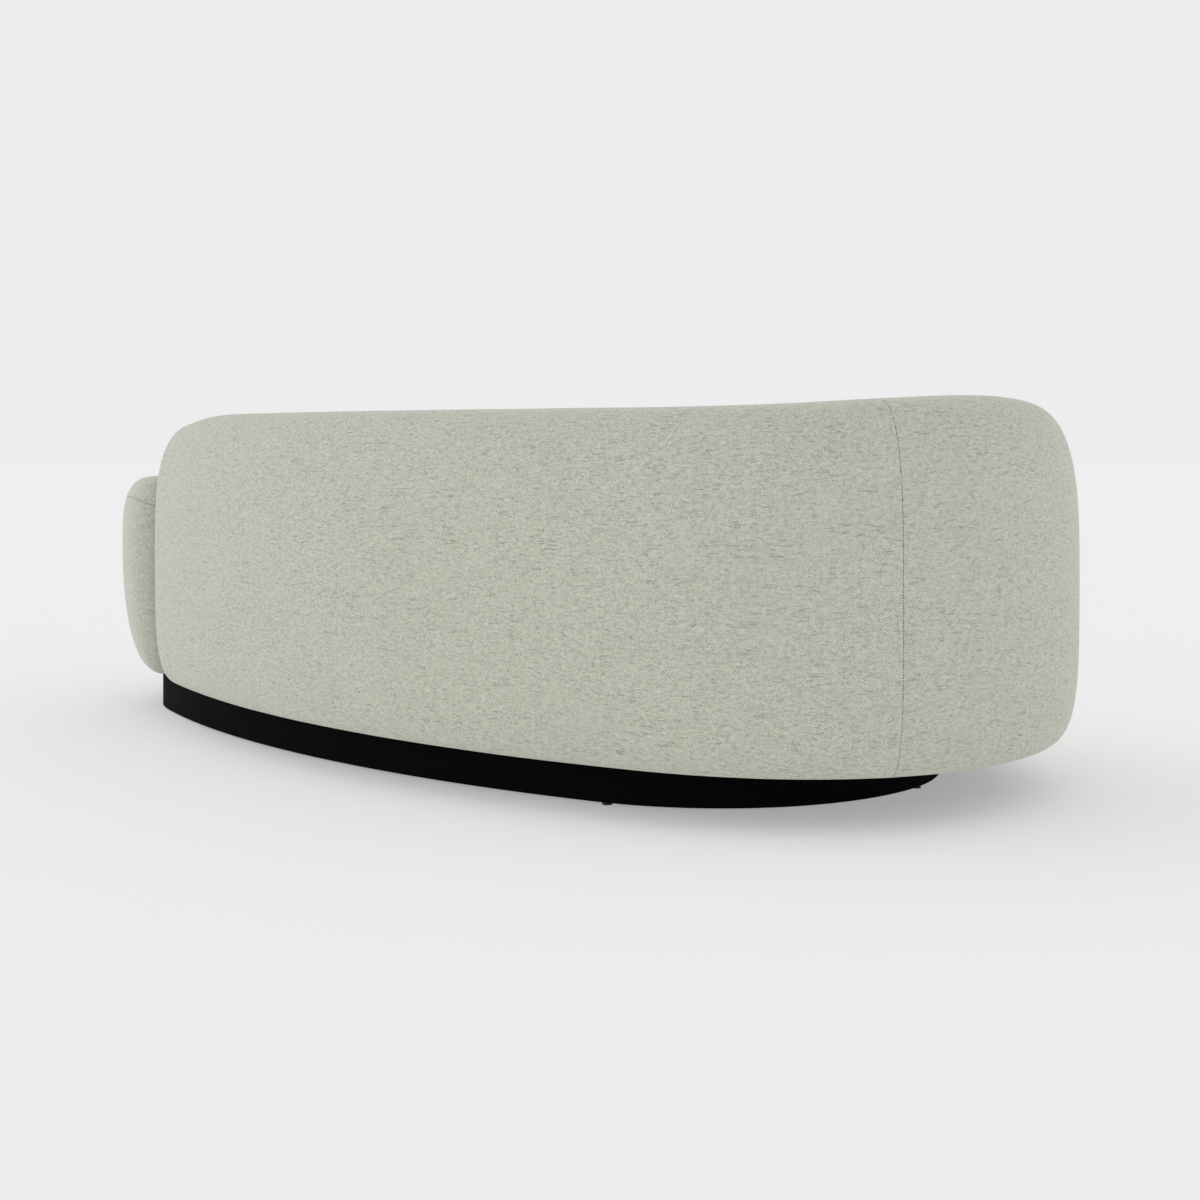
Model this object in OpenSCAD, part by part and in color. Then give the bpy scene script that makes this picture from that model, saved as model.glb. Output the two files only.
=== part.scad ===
// Curved corner sofa: a high back that follows the rear and wraps the corner end,
// a low arm round the other end, a fixed seat and a recessed black plinth.
// Front is -Y, rear is +Y, the low arm is at +X and the high wrapped end at -X.

/* [Plan of the body] */
// Radius of the long rear curve
rear_r = 2596; // [2400:2:2800]
// Radius of the corner that joins the rear curve to the high end
corner_r = 746; // [680:2:820]
// Radius of the high end
high_end_r = 585; // [540:1:630]
// Radius of the low end, round the arm
low_end_r = 528; // [490:1:560]
// How far the low end stands out past the rear curve
low_end_proud = 26; // [10:1:40]
// Radius of the hollow front
front_hollow_r = 1600; // [1300:10:2200]
// Turn at which the low end's centre lies, in degrees
low_end_angle = 65; // [62:0.5:67]
// Turn at which the rear curve meets the corner, in degrees
rear_angle = 104.7; // [102:0.1:108]
// Turn at which the corner meets the high end, in degrees
corner_angle = 124.3; // [118:0.1:130]

/* [Heights] */
// Floor to the underside of the upholstery
under_z = 93; // [80:1:120]
// Floor to the fullest level of the back and the arm
bulge_z = 420; // [380:1:440]
// Top of the back near the low end
top_low_z = 733; // [700:1:780]
// Top of the back at the middle of the rear
top_mid_z = 729; // [700:1:780]
// Top of the back at the high end
top_high_z = 752; // [720:1:800]
// Top of the arm
arm_top_z = 584; // [560:1:620]
// Top of the seat at its edge
seat_top_z = 425; // [400:1:450]
// Fullest level of the seat's front
front_bulge_z = 300; // [285:1:320]

/* [Back] */
// Thickness of the upholstered back
back_t = 240; // [200:1:260]
// Turn at which the back starts, near the low end, in degrees
back_start_angle = 71; // [70:0.5:76]
// Turn at which the back ends, at the front of the high end, in degrees
back_end_angle = 215; // [200:1:230]
// How far the underside rolls in below the back
back_roll = 89; // [70:1:100]
// How much lower the back's top is at its end by the arm
low_drop = 14; // [5:1:30]
// Length over which the top falls to that end
low_drop_run = 200; // [150:5:300]
// How much lower the back's top is at its wrapped end
high_drop = 22; // [5:1:35]
// Length over which the top falls to that end
high_drop_run = 350; // [250:5:450]
// How far the inner face swells towards the sitter
belly = 30; // [10:1:45]

/* [Arm] */
// Thickness of the upholstered arm
arm_t = 200; // [180:1:220]
// Turn at which the arm ends, at the front, in degrees
arm_front_angle = -62; // [-70:1:-50]
// How far the underside rolls in below the arm
arm_roll = 84; // [70:1:88]
// Height of the arm's sewn seam
arm_seam_z = 532; // [500:1:550]

/* [Seat] */
// How far the seat's front lies behind the ends of the back and arm
front_set = 10; // [4:1:20]
// How far the underside rolls in below the seat's front
front_roll = 80; // [60:1:84]
// How far the seat's top rounds over at the front
front_round = 120; // [90:1:140]
// Rise of the seat's crown above its edge
crown = 22; // [10:1:35]
// Thickness of the soft upper layer of the seat
topper_t = 40; // [25:1:60]

/* [Plinth] */
// Thickness of the glides under the plinth
glide_h = 5; // [3:0.5:8]
// Diameter of a glide
glide_d = 19; // [16:0.5:22]
// Thickness of the plinth's wall
plinth_t = 22; // [18:1:25]
// How far the plinth lies inside the low end
plinth_low_in = 96; // [90:1:110]
// How far the plinth's high end radius is below the body's
plinth_high_in = 86; // [80:1:110]
// How far the plinth's high end centre moves towards the middle
plinth_high_shift = 203; // [180:1:230]
// How far the plinth's rear radius is below the body's
plinth_rear_in = 20; // [0:1:60]
// Radius of the plinth's front corner at the low end
plinth_low_front_r = 380; // [340:5:400]
// Radius of the plinth's front corner at the high end
plinth_high_front_r = 400; // [360:5:430]
// Height of the cross bearers
bearer_h = 60; // [40:1:75]

/* [Frame] */
// Thickness of the plywood panel and ribs
ply_t = 18; // [15:1:21]
// Thickness of the solid seat rails
rail_t = 25; // [20:1:30]
// Height of the seat rails above the base panel
rail_h = 156; // [140:1:165]
// Thickness of the bent board behind the back
board_t = 3; // [2:0.5:5]
// Width of a seat strap
strap_w = 60; // [40:1:70]
// Thickness of the webbing
web_t = 2; // [1:0.5:3]
// Diameter of a frame screw
screw_d = 6; // [5:0.5:8]

/* [Upholstery] */
// Thickness of the cover fabric with its fleece
cover_t = 2; // [1.5:0.5:4]
// Thickness of the foam over the outer board
outer_foam_t = 24; // [20:1:30]
// Thickness of the foam that faces the sitter
inner_foam_t = 72; // [60:1:85]
// Clearance between neighbouring pieces
soft_gap = 0.3; // [0.2:0.05:0.6]

/* [Hidden] */

cover_colour = "#b9bdb0";
foam_colour = "#e8dfb6";
board_colour = "#8f7350";
ply_colour = "#d8b98a";
wood_colour = "#c49a63";
web_colour = "#4a4a48";
black_colour = "#111211";
steel_colour = "#9a9da0";

overrun = 2;
// Curve of each rounding: 2 is round, larger is squarer
back_low_curve = 4.0;
arm_low_curve = 2.2;
front_low_curve = 2.6;
top_curve = 3.0;
// Half the gap on the back's crest, where two covers are sewn together
crest_half_w = 0.5;
// Half the width of the arm's flat top
arm_crest_half_w = 12;
// Segments of each stretch of a soft form
rear_seg = 9;
corner_seg = 3;
high_seam_seg = 3;
high_seg = 8;
dome_seg = 8;
arm_seg = 10;
hollow_seg = 6;
tuck_seg = 3;
front_high_seg = 5;
front_mid_seg = 8;
front_low_seg = 4;
front_spans = front_high_seg + front_mid_seg + front_low_seg;
// Rigid outlines have this many times the segments of the soft ones
fine_seg = 3;
// Share of an end's dome over which it keeps the outer profile
dome_hold_share = 0.4;
// Turn at which the top reaches its full height at the high end
high_level_angle = 178;
// Turn of the sewn seam between the rear panel and the end panel
seam_angle = 146;

// How far the plinth's end centres lie from the body's
plinth_low_x = 18;
plinth_low_y = 7;
plinth_high_y = 23;
deck_cloth_t = 1;
// Thinnest foam over the core, at its rounded edges
thin_foam_t = 12;
// Foam over the top rail, at the lowest part of the back's crest and at the arm's top
back_crest_foam_t = 35;
arm_crest_foam_t = 44;
// Insets of the top rails and end formers from the outer face
rail_inset = 80;
arm_rail_inset = 66;
former_inset = 66;
arm_former_inset = 62;
// How far the bent boards stop short of the underside and of the core's top
board_low_in = 107;
board_high_in = 94;
arm_board_low_in = 167;
arm_board_high_in = 70;
// How far the cross rails lie below the webbing, which sags under load
cross_rail_drop = 36;
// Gap between the seat and the walls, room for the flats of the rounded ends,
// and room for the flats of the soft layers
wall_gap = 1.6;
dome_slack = 3;
flat_slack = 1.8;
seat_slack = 2.2;
// Share of the way into the nook between the arm and the back that the seat fills
nook_share = 0.6;
// Screws: how deep they bite, their clearance, head height and distance from a bearer's end
screw_bite = 40;
screw_clear = 0.25;
screw_head_h = 3;
screw_end_in = 70;
// How far a cross rail stands beside the bearer below it, past the screws
cross_shift = 40;
// A whole turn, in degrees
full_angle = 360;
// Share of the way across the core at which the ribs are screwed down
rib_screw_share = 0.6;

function dir(a) = [cos(a), sin(a)];
function turn_of(v) = atan2(v[1], v[0]);

// Plan geometry: a turn is the direction in which a wall faces, from +X through +Y

// The meeting point of two circles, on the left (side 1) or right (side -1) of the way from a to b
function meet(a, ra, b, rb, side) =
    let (way = b - a, l = norm(way), s = (l * l + ra * ra - rb * rb) / (2 * l))
    let (h = sqrt(max(0, ra * ra - s * s)))
    a + way * s / l + side * h * [-way[1], way[0]] / l;
function mix(a, b, share) = a + (b - a) * share;
function ease(share) = let (s = max(0, min(1, share))) s * s * (3 - 2 * s);
function arc_length(r, turn) = r * turn * PI / 180;

// A stretch is [centre, radius, from turn, to turn, segments]; a hollow one has a negative radius
function along(g, inset, last = 0, first = 0) = [
    for (i = [first:g[4] - 1 + last])
        g[0] + (g[1] - inset) * dir(mix(g[2], g[3], i / g[4]))
];
function strip(gs, from_inset, to_inset) = let (
    outer = [for (j = [0:len(gs) - 1]) each along(gs[j], from_inset, j == len(gs) - 1 ? 1 : 0)],
    inner = [for (j = [0:len(gs) - 1]) each along(gs[j], to_inset, j == len(gs) - 1 ? 1 : 0)]
) concat(outer, [for (i = [len(inner) - 1:-1:0]) inner[i]]);

rear_c = [0, 0];
corner_c = (rear_r - corner_r) * dir(rear_angle);
high_c = corner_c + (corner_r - high_end_r) * dir(corner_angle);
low_c = (rear_r - low_end_r + low_end_proud) * dir(low_end_angle);
front_c = meet(high_c, front_hollow_r + high_end_r, low_c, front_hollow_r + low_end_r, -1);
high_front_turn = turn_of(front_c - high_c) + full_angle;
low_front_turn = turn_of(front_c - low_c);

// Centres of the rounded ends of the back and of the arm
back_low_c = (rear_r - back_t / 2) * dir(back_start_angle);
back_high_c = high_c + (high_end_r - back_t / 2) * dir(back_end_angle);
arm_front_c = low_c + (low_end_r - arm_t / 2) * dir(arm_front_angle);
arm_back_c = meet(low_c, low_end_r - arm_t / 2, back_low_c,
    back_t / 2 + arm_t / 2 + soft_gap, -1);
arm_back = turn_of(arm_back_c - low_c);

function body_outline(inset) = let (
    corner = meet(rear_c, rear_r - inset, low_c, low_end_r - inset, 1)
) concat(
    along([low_c, low_end_r, low_front_turn, turn_of(corner - low_c), arm_seg * fine_seg], inset),
    along([rear_c, rear_r, turn_of(corner), rear_angle, rear_seg * fine_seg], inset),
    along([corner_c, corner_r, rear_angle, corner_angle, corner_seg * fine_seg], inset),
    along([high_c, high_end_r, corner_angle, high_front_turn, high_seg * fine_seg], inset),
    along([front_c, -front_hollow_r, high_front_turn, low_front_turn + full_angle,
        rear_seg * fine_seg], inset)
);

// Levels, from the floor up
panel_z = under_z;
panel_top = panel_z + ply_t;
rail_top = panel_top + rail_h;
deck_z = rail_top + web_t;
foam_z = deck_z + deck_cloth_t + soft_gap;

// Top of the wooden core of the back and of the arm, and where the bent boards stand
back_core_top = min(top_low_z - low_drop, top_mid_z, top_high_z - high_drop) - back_crest_foam_t;
arm_core_top = arm_top_z - arm_crest_foam_t;
board_low_z = under_z + board_low_in;
board_high_z = back_core_top - board_high_in;
arm_board_low_z = under_z + arm_board_low_in;
arm_board_high_z = arm_core_top - arm_board_high_in;

// Insets of the layers, from the outer face of the back and of the arm
panel_inset = back_roll + cover_t + 2 * dome_slack;
board_inset = outer_foam_t + soft_gap;
arm_board_inset = board_inset + flat_slack;
rib_in = board_t + soft_gap + flat_slack;
back_core_t = back_t - inner_foam_t - soft_gap;
arm_core_t = arm_t - inner_foam_t - soft_gap;

// Height of the back's crest at a turn
function crest_z(turn) =
    (turn < rear_angle
        ? mix(top_low_z, top_mid_z, ease((turn - back_start_angle) / (rear_angle - back_start_angle)))
        : mix(top_mid_z, top_high_z, ease((turn - rear_angle) / (high_level_angle - rear_angle))))
    - low_drop * (1 - ease(arc_length(rear_r, turn - back_start_angle) / low_drop_run))
    - high_drop * (1 - ease(arc_length(high_end_r, back_end_angle - turn) / high_drop_run));

// Side profile of a soft wall: inset and height at angle f, -90 below, 0 fullest, 90 on top
function profile(f, z_low, z_mid, z_top, roll, low_curve, round) = f < 0
    ? [roll * (1 - pow(cos(f), 2 / low_curve)), z_mid - (z_mid - z_low) * pow(-sin(f), 2 / low_curve)]
    : [round * (1 - pow(cos(f), 2 / top_curve)), z_mid + (z_top - z_mid) * pow(sin(f), 2 / top_curve)];
// Profile angle at which the upper or the lower part reaches height z
function angle_at(z, z_mid, z_top) = asin(pow((z - z_mid) / (z_top - z_mid), top_curve / 2));
function low_angle_at(z, z_low, z_mid, low_curve) =
    -asin(pow((z_mid - z) / (z_mid - z_low), low_curve / 2));
// How far a rolled underside is drawn in at height z
function drawn_in(z, roll, low_curve) = z >= bulge_z ? 0
    : profile(low_angle_at(max(z, under_z), under_z, bulge_z, low_curve), under_z, bulge_z, bulge_z,
        roll, low_curve, 0)[0];
// The middle one of three profile points, moved inwards by depth
function set_in(before, p, after, depth) = let (t = after - before)
    p + depth * [t[1], -t[0]] / norm(t);

// A column of a closed soft wall is [centre, radius, turn, outer share, station turn]:
// the outer share is 1 on the outer face and 0 on the face towards the sitter
function share_at(from, to, s) = from == to ? from
    : from > to ? 1 - ease((s - dome_hold_share) / (1 - dome_hold_share))
    : ease(s / (1 - dome_hold_share));
function columns(loop) = [
    for (g = loop) for (i = [0:g[4] - 1]) let (s = i / g[4])
        [g[0], g[1], mix(g[2], g[3], s), share_at(g[5], g[6], s), mix(g[7], g[8], s)]
];

back_columns = columns([
    [rear_c, rear_r, back_start_angle, rear_angle, rear_seg, 1, 1, back_start_angle, rear_angle],
    [corner_c, corner_r, rear_angle, corner_angle, corner_seg, 1, 1, rear_angle, corner_angle],
    [high_c, high_end_r, corner_angle, seam_angle, high_seam_seg, 1, 1, corner_angle, seam_angle],
    [high_c, high_end_r, seam_angle, back_end_angle, high_seg, 1, 1, seam_angle, back_end_angle],
    [back_high_c, back_t / 2, back_end_angle, back_end_angle + 180, dome_seg, 1, 0,
        back_end_angle, back_end_angle],
    [high_c, back_t - high_end_r, back_end_angle + 180, seam_angle + 180, high_seg, 0, 0,
        back_end_angle, seam_angle],
    [high_c, back_t - high_end_r, seam_angle + 180, corner_angle + 180, high_seam_seg, 0, 0,
        seam_angle, corner_angle],
    [corner_c, back_t - corner_r, corner_angle + 180, rear_angle + 180, corner_seg, 0, 0,
        corner_angle, rear_angle],
    [rear_c, back_t - rear_r, rear_angle + 180, back_start_angle + 180, rear_seg, 0, 0,
        rear_angle, back_start_angle],
    [back_low_c, back_t / 2, back_start_angle + 180, back_start_angle + full_angle, dome_seg, 0, 1,
        back_start_angle, back_start_angle]
]);
// Numbers of the columns at which the covers are sewn together
seam_column = rear_seg + corner_seg + high_seam_seg;
high_tip_column = seam_column + high_seg + dome_seg / 2;
low_tip_column = len(back_columns) - dome_seg / 2;

arm_columns = columns([
    [low_c, low_end_r, arm_front_angle, arm_back, arm_seg, 1, 1, 0, 0],
    [arm_back_c, arm_t / 2, arm_back, arm_back + 180, dome_seg, 1, 0, 0, 0],
    [low_c, arm_t - low_end_r, arm_back + 180, arm_front_angle + 180, arm_seg, 0, 0, 0, 0],
    [arm_front_c, arm_t / 2, arm_front_angle + 180, arm_front_angle + full_angle, dome_seg, 0, 1, 0, 0]
]);
arm_back_tip = arm_seg + dome_seg / 2;
arm_front_tip = len(arm_columns) - dome_seg / 2;

// Profile angles of the rows. The foam has some of the covers' rows, and lies just inside them.
low_seg = 5;
low_rows = [for (i = [-low_seg:-1]) 90 * i / low_seg];
back_rows = concat(low_rows, [for (i = [0:6]) 15 * i]);
back_foam_rows = [for (i = [0, 1, 3, 5, 7, 9, 10, 11]) back_rows[i]];
arm_seam_profile_angle = angle_at(arm_seam_z, bulge_z, arm_top_z);
arm_rows = concat(low_rows, [0, arm_seam_profile_angle / 2],
    [for (i = [0:3]) mix(arm_seam_profile_angle, 90, i / 3)]);
arm_seam_row = low_seg + 2;
arm_foam_rows = [for (i = [0, 1, 3, 5, 7, 8, 9, 10]) arm_rows[i]];

function back_point(f, col) = let (
    out = col[3], top = crest_z(col[4]),
    p = profile(f, mix(foam_z, under_z, out), bulge_z, top, back_roll * out, back_low_curve,
        back_t / 2 - crest_half_w),
    rise = max(0, min(1, (p[1] - seat_top_z) / (top - seat_top_z)))
) [p[0] - belly * (1 - out) * sin(180 * rise), p[1]];
function arm_point(f, col) = profile(f, mix(foam_z, under_z, col[3]), bulge_z, arm_top_z,
    arm_roll * col[3], arm_low_curve, arm_t / 2 - arm_crest_half_w);
function wall_point(kind, f, col) = kind == "back" ? back_point(f, col) : arm_point(f, col);
function wall_half(kind) = kind == "back" ? back_t / 2 - crest_half_w : arm_t / 2 - arm_crest_half_w;

// A wall's point at row k, moved inwards by depth
function wall_uz(kind, rows, k, col, depth) = let (
    before = wall_point(kind, rows[max(0, k - 1)], col),
    p = wall_point(kind, rows[k], col),
    after = wall_point(kind, rows[min(len(rows) - 1, k + 1)], col),
    q = set_in(before, p, after, depth)
) [min(wall_half(kind), q[0]), max(under_z, q[1])];
// The same, kept clear of a core that is [outer inset, inner inset, top]
function core_uz(kind, rows, k, col, depth, core) = let (q = wall_uz(kind, rows, k, col, depth))
    [max(mix(core[1], core[0], col[3]), q[0]), min(core[2], q[1])];
function wall_grid(kind, cols, rows, from, to, depth, core, low = 0, high) = [
    for (i = [from:to]) let (col = cols[i % len(cols)])
        [for (k = [low:is_undef(high) ? len(rows) - 1 : high])
            let (q = is_undef(core) ? wall_uz(kind, rows, k, col, depth)
                : core_uz(kind, rows, k, col, depth, core))
            let (p = col[0] + (col[1] - q[0]) * dir(col[2]))
            [p[0], p[1], q[1]]]
];

// Triangles that fill a plane outline whose points run counterclockwise, found by cutting off ears
function side_of(a, b, p) = (b[0] - a[0]) * (p[1] - a[1]) - (b[1] - a[1]) * (p[0] - a[0]);
function is_ear(points, a, b, c, others) = side_of(points[a], points[b], points[c]) > 0
    && len([for (p = others) if (side_of(points[a], points[b], points[p]) >= 0
        && side_of(points[b], points[c], points[p]) >= 0
        && side_of(points[c], points[a], points[p]) >= 0) p]) == 0;
function ears(points, ids, misses = 0) = let (n = len(ids), others = [for (i = [3:n - 1]) ids[i]])
    n == 3 ? [ids]
    : is_ear(points, ids[0], ids[1], ids[2], others)
        ? concat([[ids[0], ids[1], ids[2]]], ears(points, concat([ids[2]], others, [ids[0]])))
    : misses < n ? ears(points, concat([ids[1], ids[2]], others, [ids[0]]), misses + 1) : [];
function cap_faces(ring) = ears(ring, [for (i = [0:len(ring) - 1]) i]);
function turned(face) = [face[2], face[1], face[0]];

// The faces of both skins between two grids of points, their columns to the right and rows upwards
function skin_faces(spans, columns, rows) = let (under = columns * rows) [
    for (i = [0:spans - 1]) for (k = [0:rows - 2])
        let (a = i * rows + k, b = a + 1, d = (i + 1) % columns * rows + k, c = d + 1)
        each [[a, b, c], [a, c, d], [under + a, under + c, under + b], [under + a, under + d, under + c]]
];

// An open sheet between two grids of points
module sheet(outer, inner) {
    columns = len(outer);
    rows = len(outer[0]);
    spans = columns - 1;
    under = columns * rows;
    edges = [for (i = [0:spans - 1])
        let (a = i * rows, b = a + rows, c = a + rows - 1, d = c + rows)
        each [[a, b, under + b], [a, under + b, under + a], [d, c, under + c], [d, under + c, under + d]]];
    ends = [for (k = [0:rows - 2])
        let (a = k, b = k + 1, c = spans * rows + k, d = c + 1)
        each [[b, a, under + a], [b, under + a, under + b], [c, d, under + d], [c, under + d, under + c]]];
    polyhedron(concat([for (c = outer) each c], [for (c = inner) each c]),
        concat(skin_faces(spans, columns, rows), edges, ends));
}

// A closed shell between two grids of points whose top rows are each in one plane
module cap_sheet(outer, inner) {
    columns = len(outer);
    rows = len(outer[0]);
    under = columns * rows;
    rim = [for (i = [0:columns - 1]) let (a = i * rows, b = (i + 1) % columns * rows)
        each [[a, b, under + b], [a, under + b, under + a]]];
    top = [for (f = cap_faces([for (c = outer) c[rows - 1]])) turned(f) * rows
        + (rows - 1) * [1, 1, 1]];
    ceiling = [for (f = cap_faces([for (c = inner) c[rows - 1]])) f * rows
        + (under + rows - 1) * [1, 1, 1]];
    polyhedron(concat([for (c = outer) each c], [for (c = inner) each c]),
        concat(skin_faces(columns, columns, rows), rim, top, ceiling));
}

// A closed solid through rings of points, from the bottom up, with a plane top and bottom
module stack(rings) {
    count = len(rings[0]);
    last = (len(rings) - 1) * count;
    walls = [for (k = [0:len(rings) - 2]) for (i = [0:count - 1])
        let (a = k * count + i, b = a + count, d = k * count + (i + 1) % count, c = d + count)
        each [[a, b, c], [a, c, d]]];
    top = [for (f = cap_faces(rings[len(rings) - 1])) turned(f) + last * [1, 1, 1]];
    polyhedron([for (r = rings) each r], concat(walls, cap_faces(rings[0]), top));
}

// Points that follow a rounded end from the outside, from share s0 to s1 of the way round to its
// inner face: its radius is r, less what its underside is drawn in
function hollow(c, turn, side, s0, s1, seg, r, drawn) = [
    for (i = [0:seg]) let (s = mix(s0, s1, i / seg))
        c + (r - drawn * share_at(1, 0, s)) * dir(turn + side * 180 * s)
];
function share_round(c, turn, side, p) = let (a = side * (turn_of(p - c) - turn))
    (a - full_angle * floor(a / full_angle)) * 2 / full_angle;

// The seat's outline, with its front set in by front_in and its other sides by side_in.
// Where it meets the rounded ends of the back and arm, it follows them.
function seat_line(front_in, side_in, z = bulge_z) = let (
    high_r = high_end_r - front_set - front_in,
    low_r = low_end_r - front_set - front_in,
    end_gap = soft_gap + dome_slack + max(0, side_in),
    back_end_r = back_t / 2 + end_gap,
    arm_end_r = arm_t / 2 + end_gap,
    back_in = drawn_in(z, back_roll, back_low_curve),
    arm_in = drawn_in(z, arm_roll, arm_low_curve),
    side = wall_gap + side_in,
    high_meet = meet(high_c, high_r, back_high_c, back_end_r - back_in, 1),
    low_meet = meet(low_c, low_r, arm_front_c, arm_end_r - arm_in, -1),
    high_s = share_round(back_high_c, back_end_angle, 1, high_meet),
    low_s = share_round(arm_front_c, arm_front_angle, -1, low_meet)
) concat(
    along([high_c, high_r, turn_of(high_meet - high_c) + full_angle, high_front_turn, front_high_seg], 0),
    along([front_c, -front_hollow_r - front_set - front_in, high_front_turn, low_front_turn + full_angle,
        front_mid_seg], 0),
    along([low_c, low_r, low_front_turn, turn_of(low_meet - low_c), front_low_seg], 0),
    hollow(arm_front_c, arm_front_angle, -1, low_s, 1, hollow_seg, arm_end_r, arm_in),
    along([low_c, low_end_r - arm_t - side, arm_front_angle, arm_back, arm_seg], 0, 0, 1),
    hollow(arm_back_c, arm_back, 1, 1, arm_tuck_share, tuck_seg, arm_end_r, arm_in),
    hollow(back_low_c, back_start_angle, -1, back_tuck_share, 1, tuck_seg, back_end_r, back_in),
    along([rear_c, rear_r - back_t - side, back_start_angle, rear_angle, rear_seg], 0, 0, 1),
    along([corner_c, corner_r - back_t - side, rear_angle, corner_angle, corner_seg], 0),
    along([high_c, high_end_r - back_t - side, corner_angle, seam_angle, high_seam_seg], 0),
    along([high_c, high_end_r - back_t - side, seam_angle, back_end_angle, high_seg], 0),
    let (end = hollow(back_high_c, back_end_angle, 1, 1, high_s, hollow_seg, back_end_r, back_in))
        [for (i = [0:hollow_seg - 1]) end[i]]
);
// How far round the two ends at the nook the seat reaches
arm_tuck_share = mix(1, share_round(arm_back_c, arm_back, 1, back_low_c), nook_share);
back_tuck_share = mix(1, share_round(back_low_c, back_start_angle, -1, arm_back_c), nook_share);
front_rail_inset = 55;

function front_point(f) = profile(f, under_z, front_bulge_z, seat_top_z, front_roll, front_low_curve,
    front_round);
function front_uz(rows, k, depth) = set_in(front_point(rows[max(0, k - 1)]), front_point(rows[k]),
    front_point(rows[min(len(rows) - 1, k + 1)]), depth);
function level(line, z) = [for (p = line) [p[0], p[1], z]];
// Rings of the seat's rounded rim, its sides kept upright
function rim_rings(rows, low, high, depth, side) = [
    for (k = [low:high]) let (q = front_uz(rows, k, depth)) level(seat_line(q[0], side, q[1]), q[1])
];
// Rings of the seat's crown, which draw in to a line between the two end centres
function crown_rings(depth, side, shares) = let (
    edge = seat_line(front_round, side),
    way = low_c - high_c
) [
    for (share = shares) [
        for (p = edge)
            let (t = max(crown_end_share, min(1 - crown_end_share, (p - high_c) * way / (way * way))))
            let (q = mix(p, high_c + t * way, share))
            [q[0], q[1], seat_top_z - depth + crown * (1 - pow(1 - share, 2))]
    ]
];
crown_shares = [0.12, 0.35, 0.62, 0.85];
topper_shares = [0.35, 0.85];
crown_end_share = 0.12;
// Profile angles of the seat's front: its seam, and the top of the foam core
seat_seam_angle = 40;
core_top_z = seat_top_z - topper_t;
core_angle = angle_at(core_top_z, front_bulge_z, seat_top_z);
front_rows = concat(low_rows, [for (i = [0:3]) seat_seam_angle * i / 3],
    [for (i = [1:3]) mix(seat_seam_angle, 90, i / 3)]);
seat_seam_row = low_seg + 3;
front_top_row = low_seg + 6;
function by_column(rings, count) = [for (i = [0:count - 1]) [for (r = rings) r[i]]];

// Plan of the plinth
plinth_low_c = low_c + [-plinth_low_x, plinth_low_y];
plinth_high_c = high_c + [plinth_high_shift, -plinth_high_y];
plinth_low_r = low_end_r - plinth_low_in;
plinth_high_r = high_end_r - plinth_high_in;
plinth_rear_r = rear_r - plinth_rear_in;
plinth_rear_c = meet(plinth_high_c, plinth_rear_r - plinth_high_r,
    plinth_low_c, plinth_rear_r - plinth_low_r, -1);
plinth_low_front_c = plinth_low_c + [plinth_low_r - plinth_low_front_r, 0];
plinth_high_front_c = plinth_high_c - [plinth_high_r - plinth_high_front_r, 0];
plinth_front_c = meet(plinth_high_front_c, front_hollow_r + plinth_high_front_r,
    plinth_low_front_c, front_hollow_r + plinth_low_front_r, -1);
plinth_high_turn = turn_of(plinth_high_c - plinth_rear_c);
plinth_high_front_turn = turn_of(plinth_front_c - plinth_high_front_c) + full_angle;
plinth_low_front_turn = turn_of(plinth_front_c - plinth_low_front_c);
function plinth_outline(inset) = concat(
    along([plinth_low_front_c, plinth_low_front_r, plinth_low_front_turn, 0, arm_seg * fine_seg], inset),
    along([plinth_low_c, plinth_low_r, 0, turn_of(plinth_low_c - plinth_rear_c), arm_seg * fine_seg], inset),
    along([plinth_rear_c, plinth_rear_r, turn_of(plinth_low_c - plinth_rear_c), plinth_high_turn,
        rear_seg * fine_seg], inset),
    along([plinth_high_c, plinth_high_r, plinth_high_turn, 180, high_seg * fine_seg], inset),
    along([plinth_high_front_c, plinth_high_front_r, 180, plinth_high_front_turn,
        high_seg * fine_seg], inset),
    along([plinth_front_c, -front_hollow_r, plinth_high_front_turn, plinth_low_front_turn + full_angle,
        rear_seg * fine_seg], inset)
);

// The whole body's box sets the origin: its middle in plan, on the floor
box_points = concat(
    [for (c = back_columns) c[0] + c[1] * dir(c[2])],
    [for (c = arm_columns) c[0] + c[1] * dir(c[2])],
    seat_line(0, 0)
);
box_x = [for (p = box_points) p[0]];
box_y = [for (p = box_points) p[1]];
plan_middle = [(min(box_x) + max(box_x)) / 2, (min(box_y) + max(box_y)) / 2, 0];
echo(plan_middle = plan_middle, length = max(box_x) - min(box_x), depth = max(box_y) - min(box_y));

module centred() translate(-plan_middle) children();
module plate(z, h, outline) translate([0, 0, z]) linear_extrude(h) polygon(outline);
// A board that stands across the wall at a station, drawn as inset and height
module across(c, r, turn, thick) translate(c) rotate(turn) translate([r, 0, 0])
    rotate([90, 0, 0]) translate([0, 0, -thick / 2]) linear_extrude(thick) mirror([1, 0]) children();

// Plinth
// Places of the glides, as centre, radius and turn
glide_places = [
    [plinth_low_c, plinth_low_r, 38], [plinth_low_front_c, plinth_low_front_r, -40],
    [plinth_high_c, plinth_high_r, 106], [plinth_high_front_c, plinth_high_front_r, 185],
    [plinth_high_front_c, plinth_high_front_r, 245],
    [plinth_front_c, -front_hollow_r, 277], [plinth_front_c, -front_hollow_r, 264]
];
module glides() color(black_colour) centred()
    for (g = glide_places) translate(g[0] + (g[1] - plinth_t / 2) * dir(g[2]))
        cylinder(d = glide_d, h = glide_h, $fn = 32);

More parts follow.
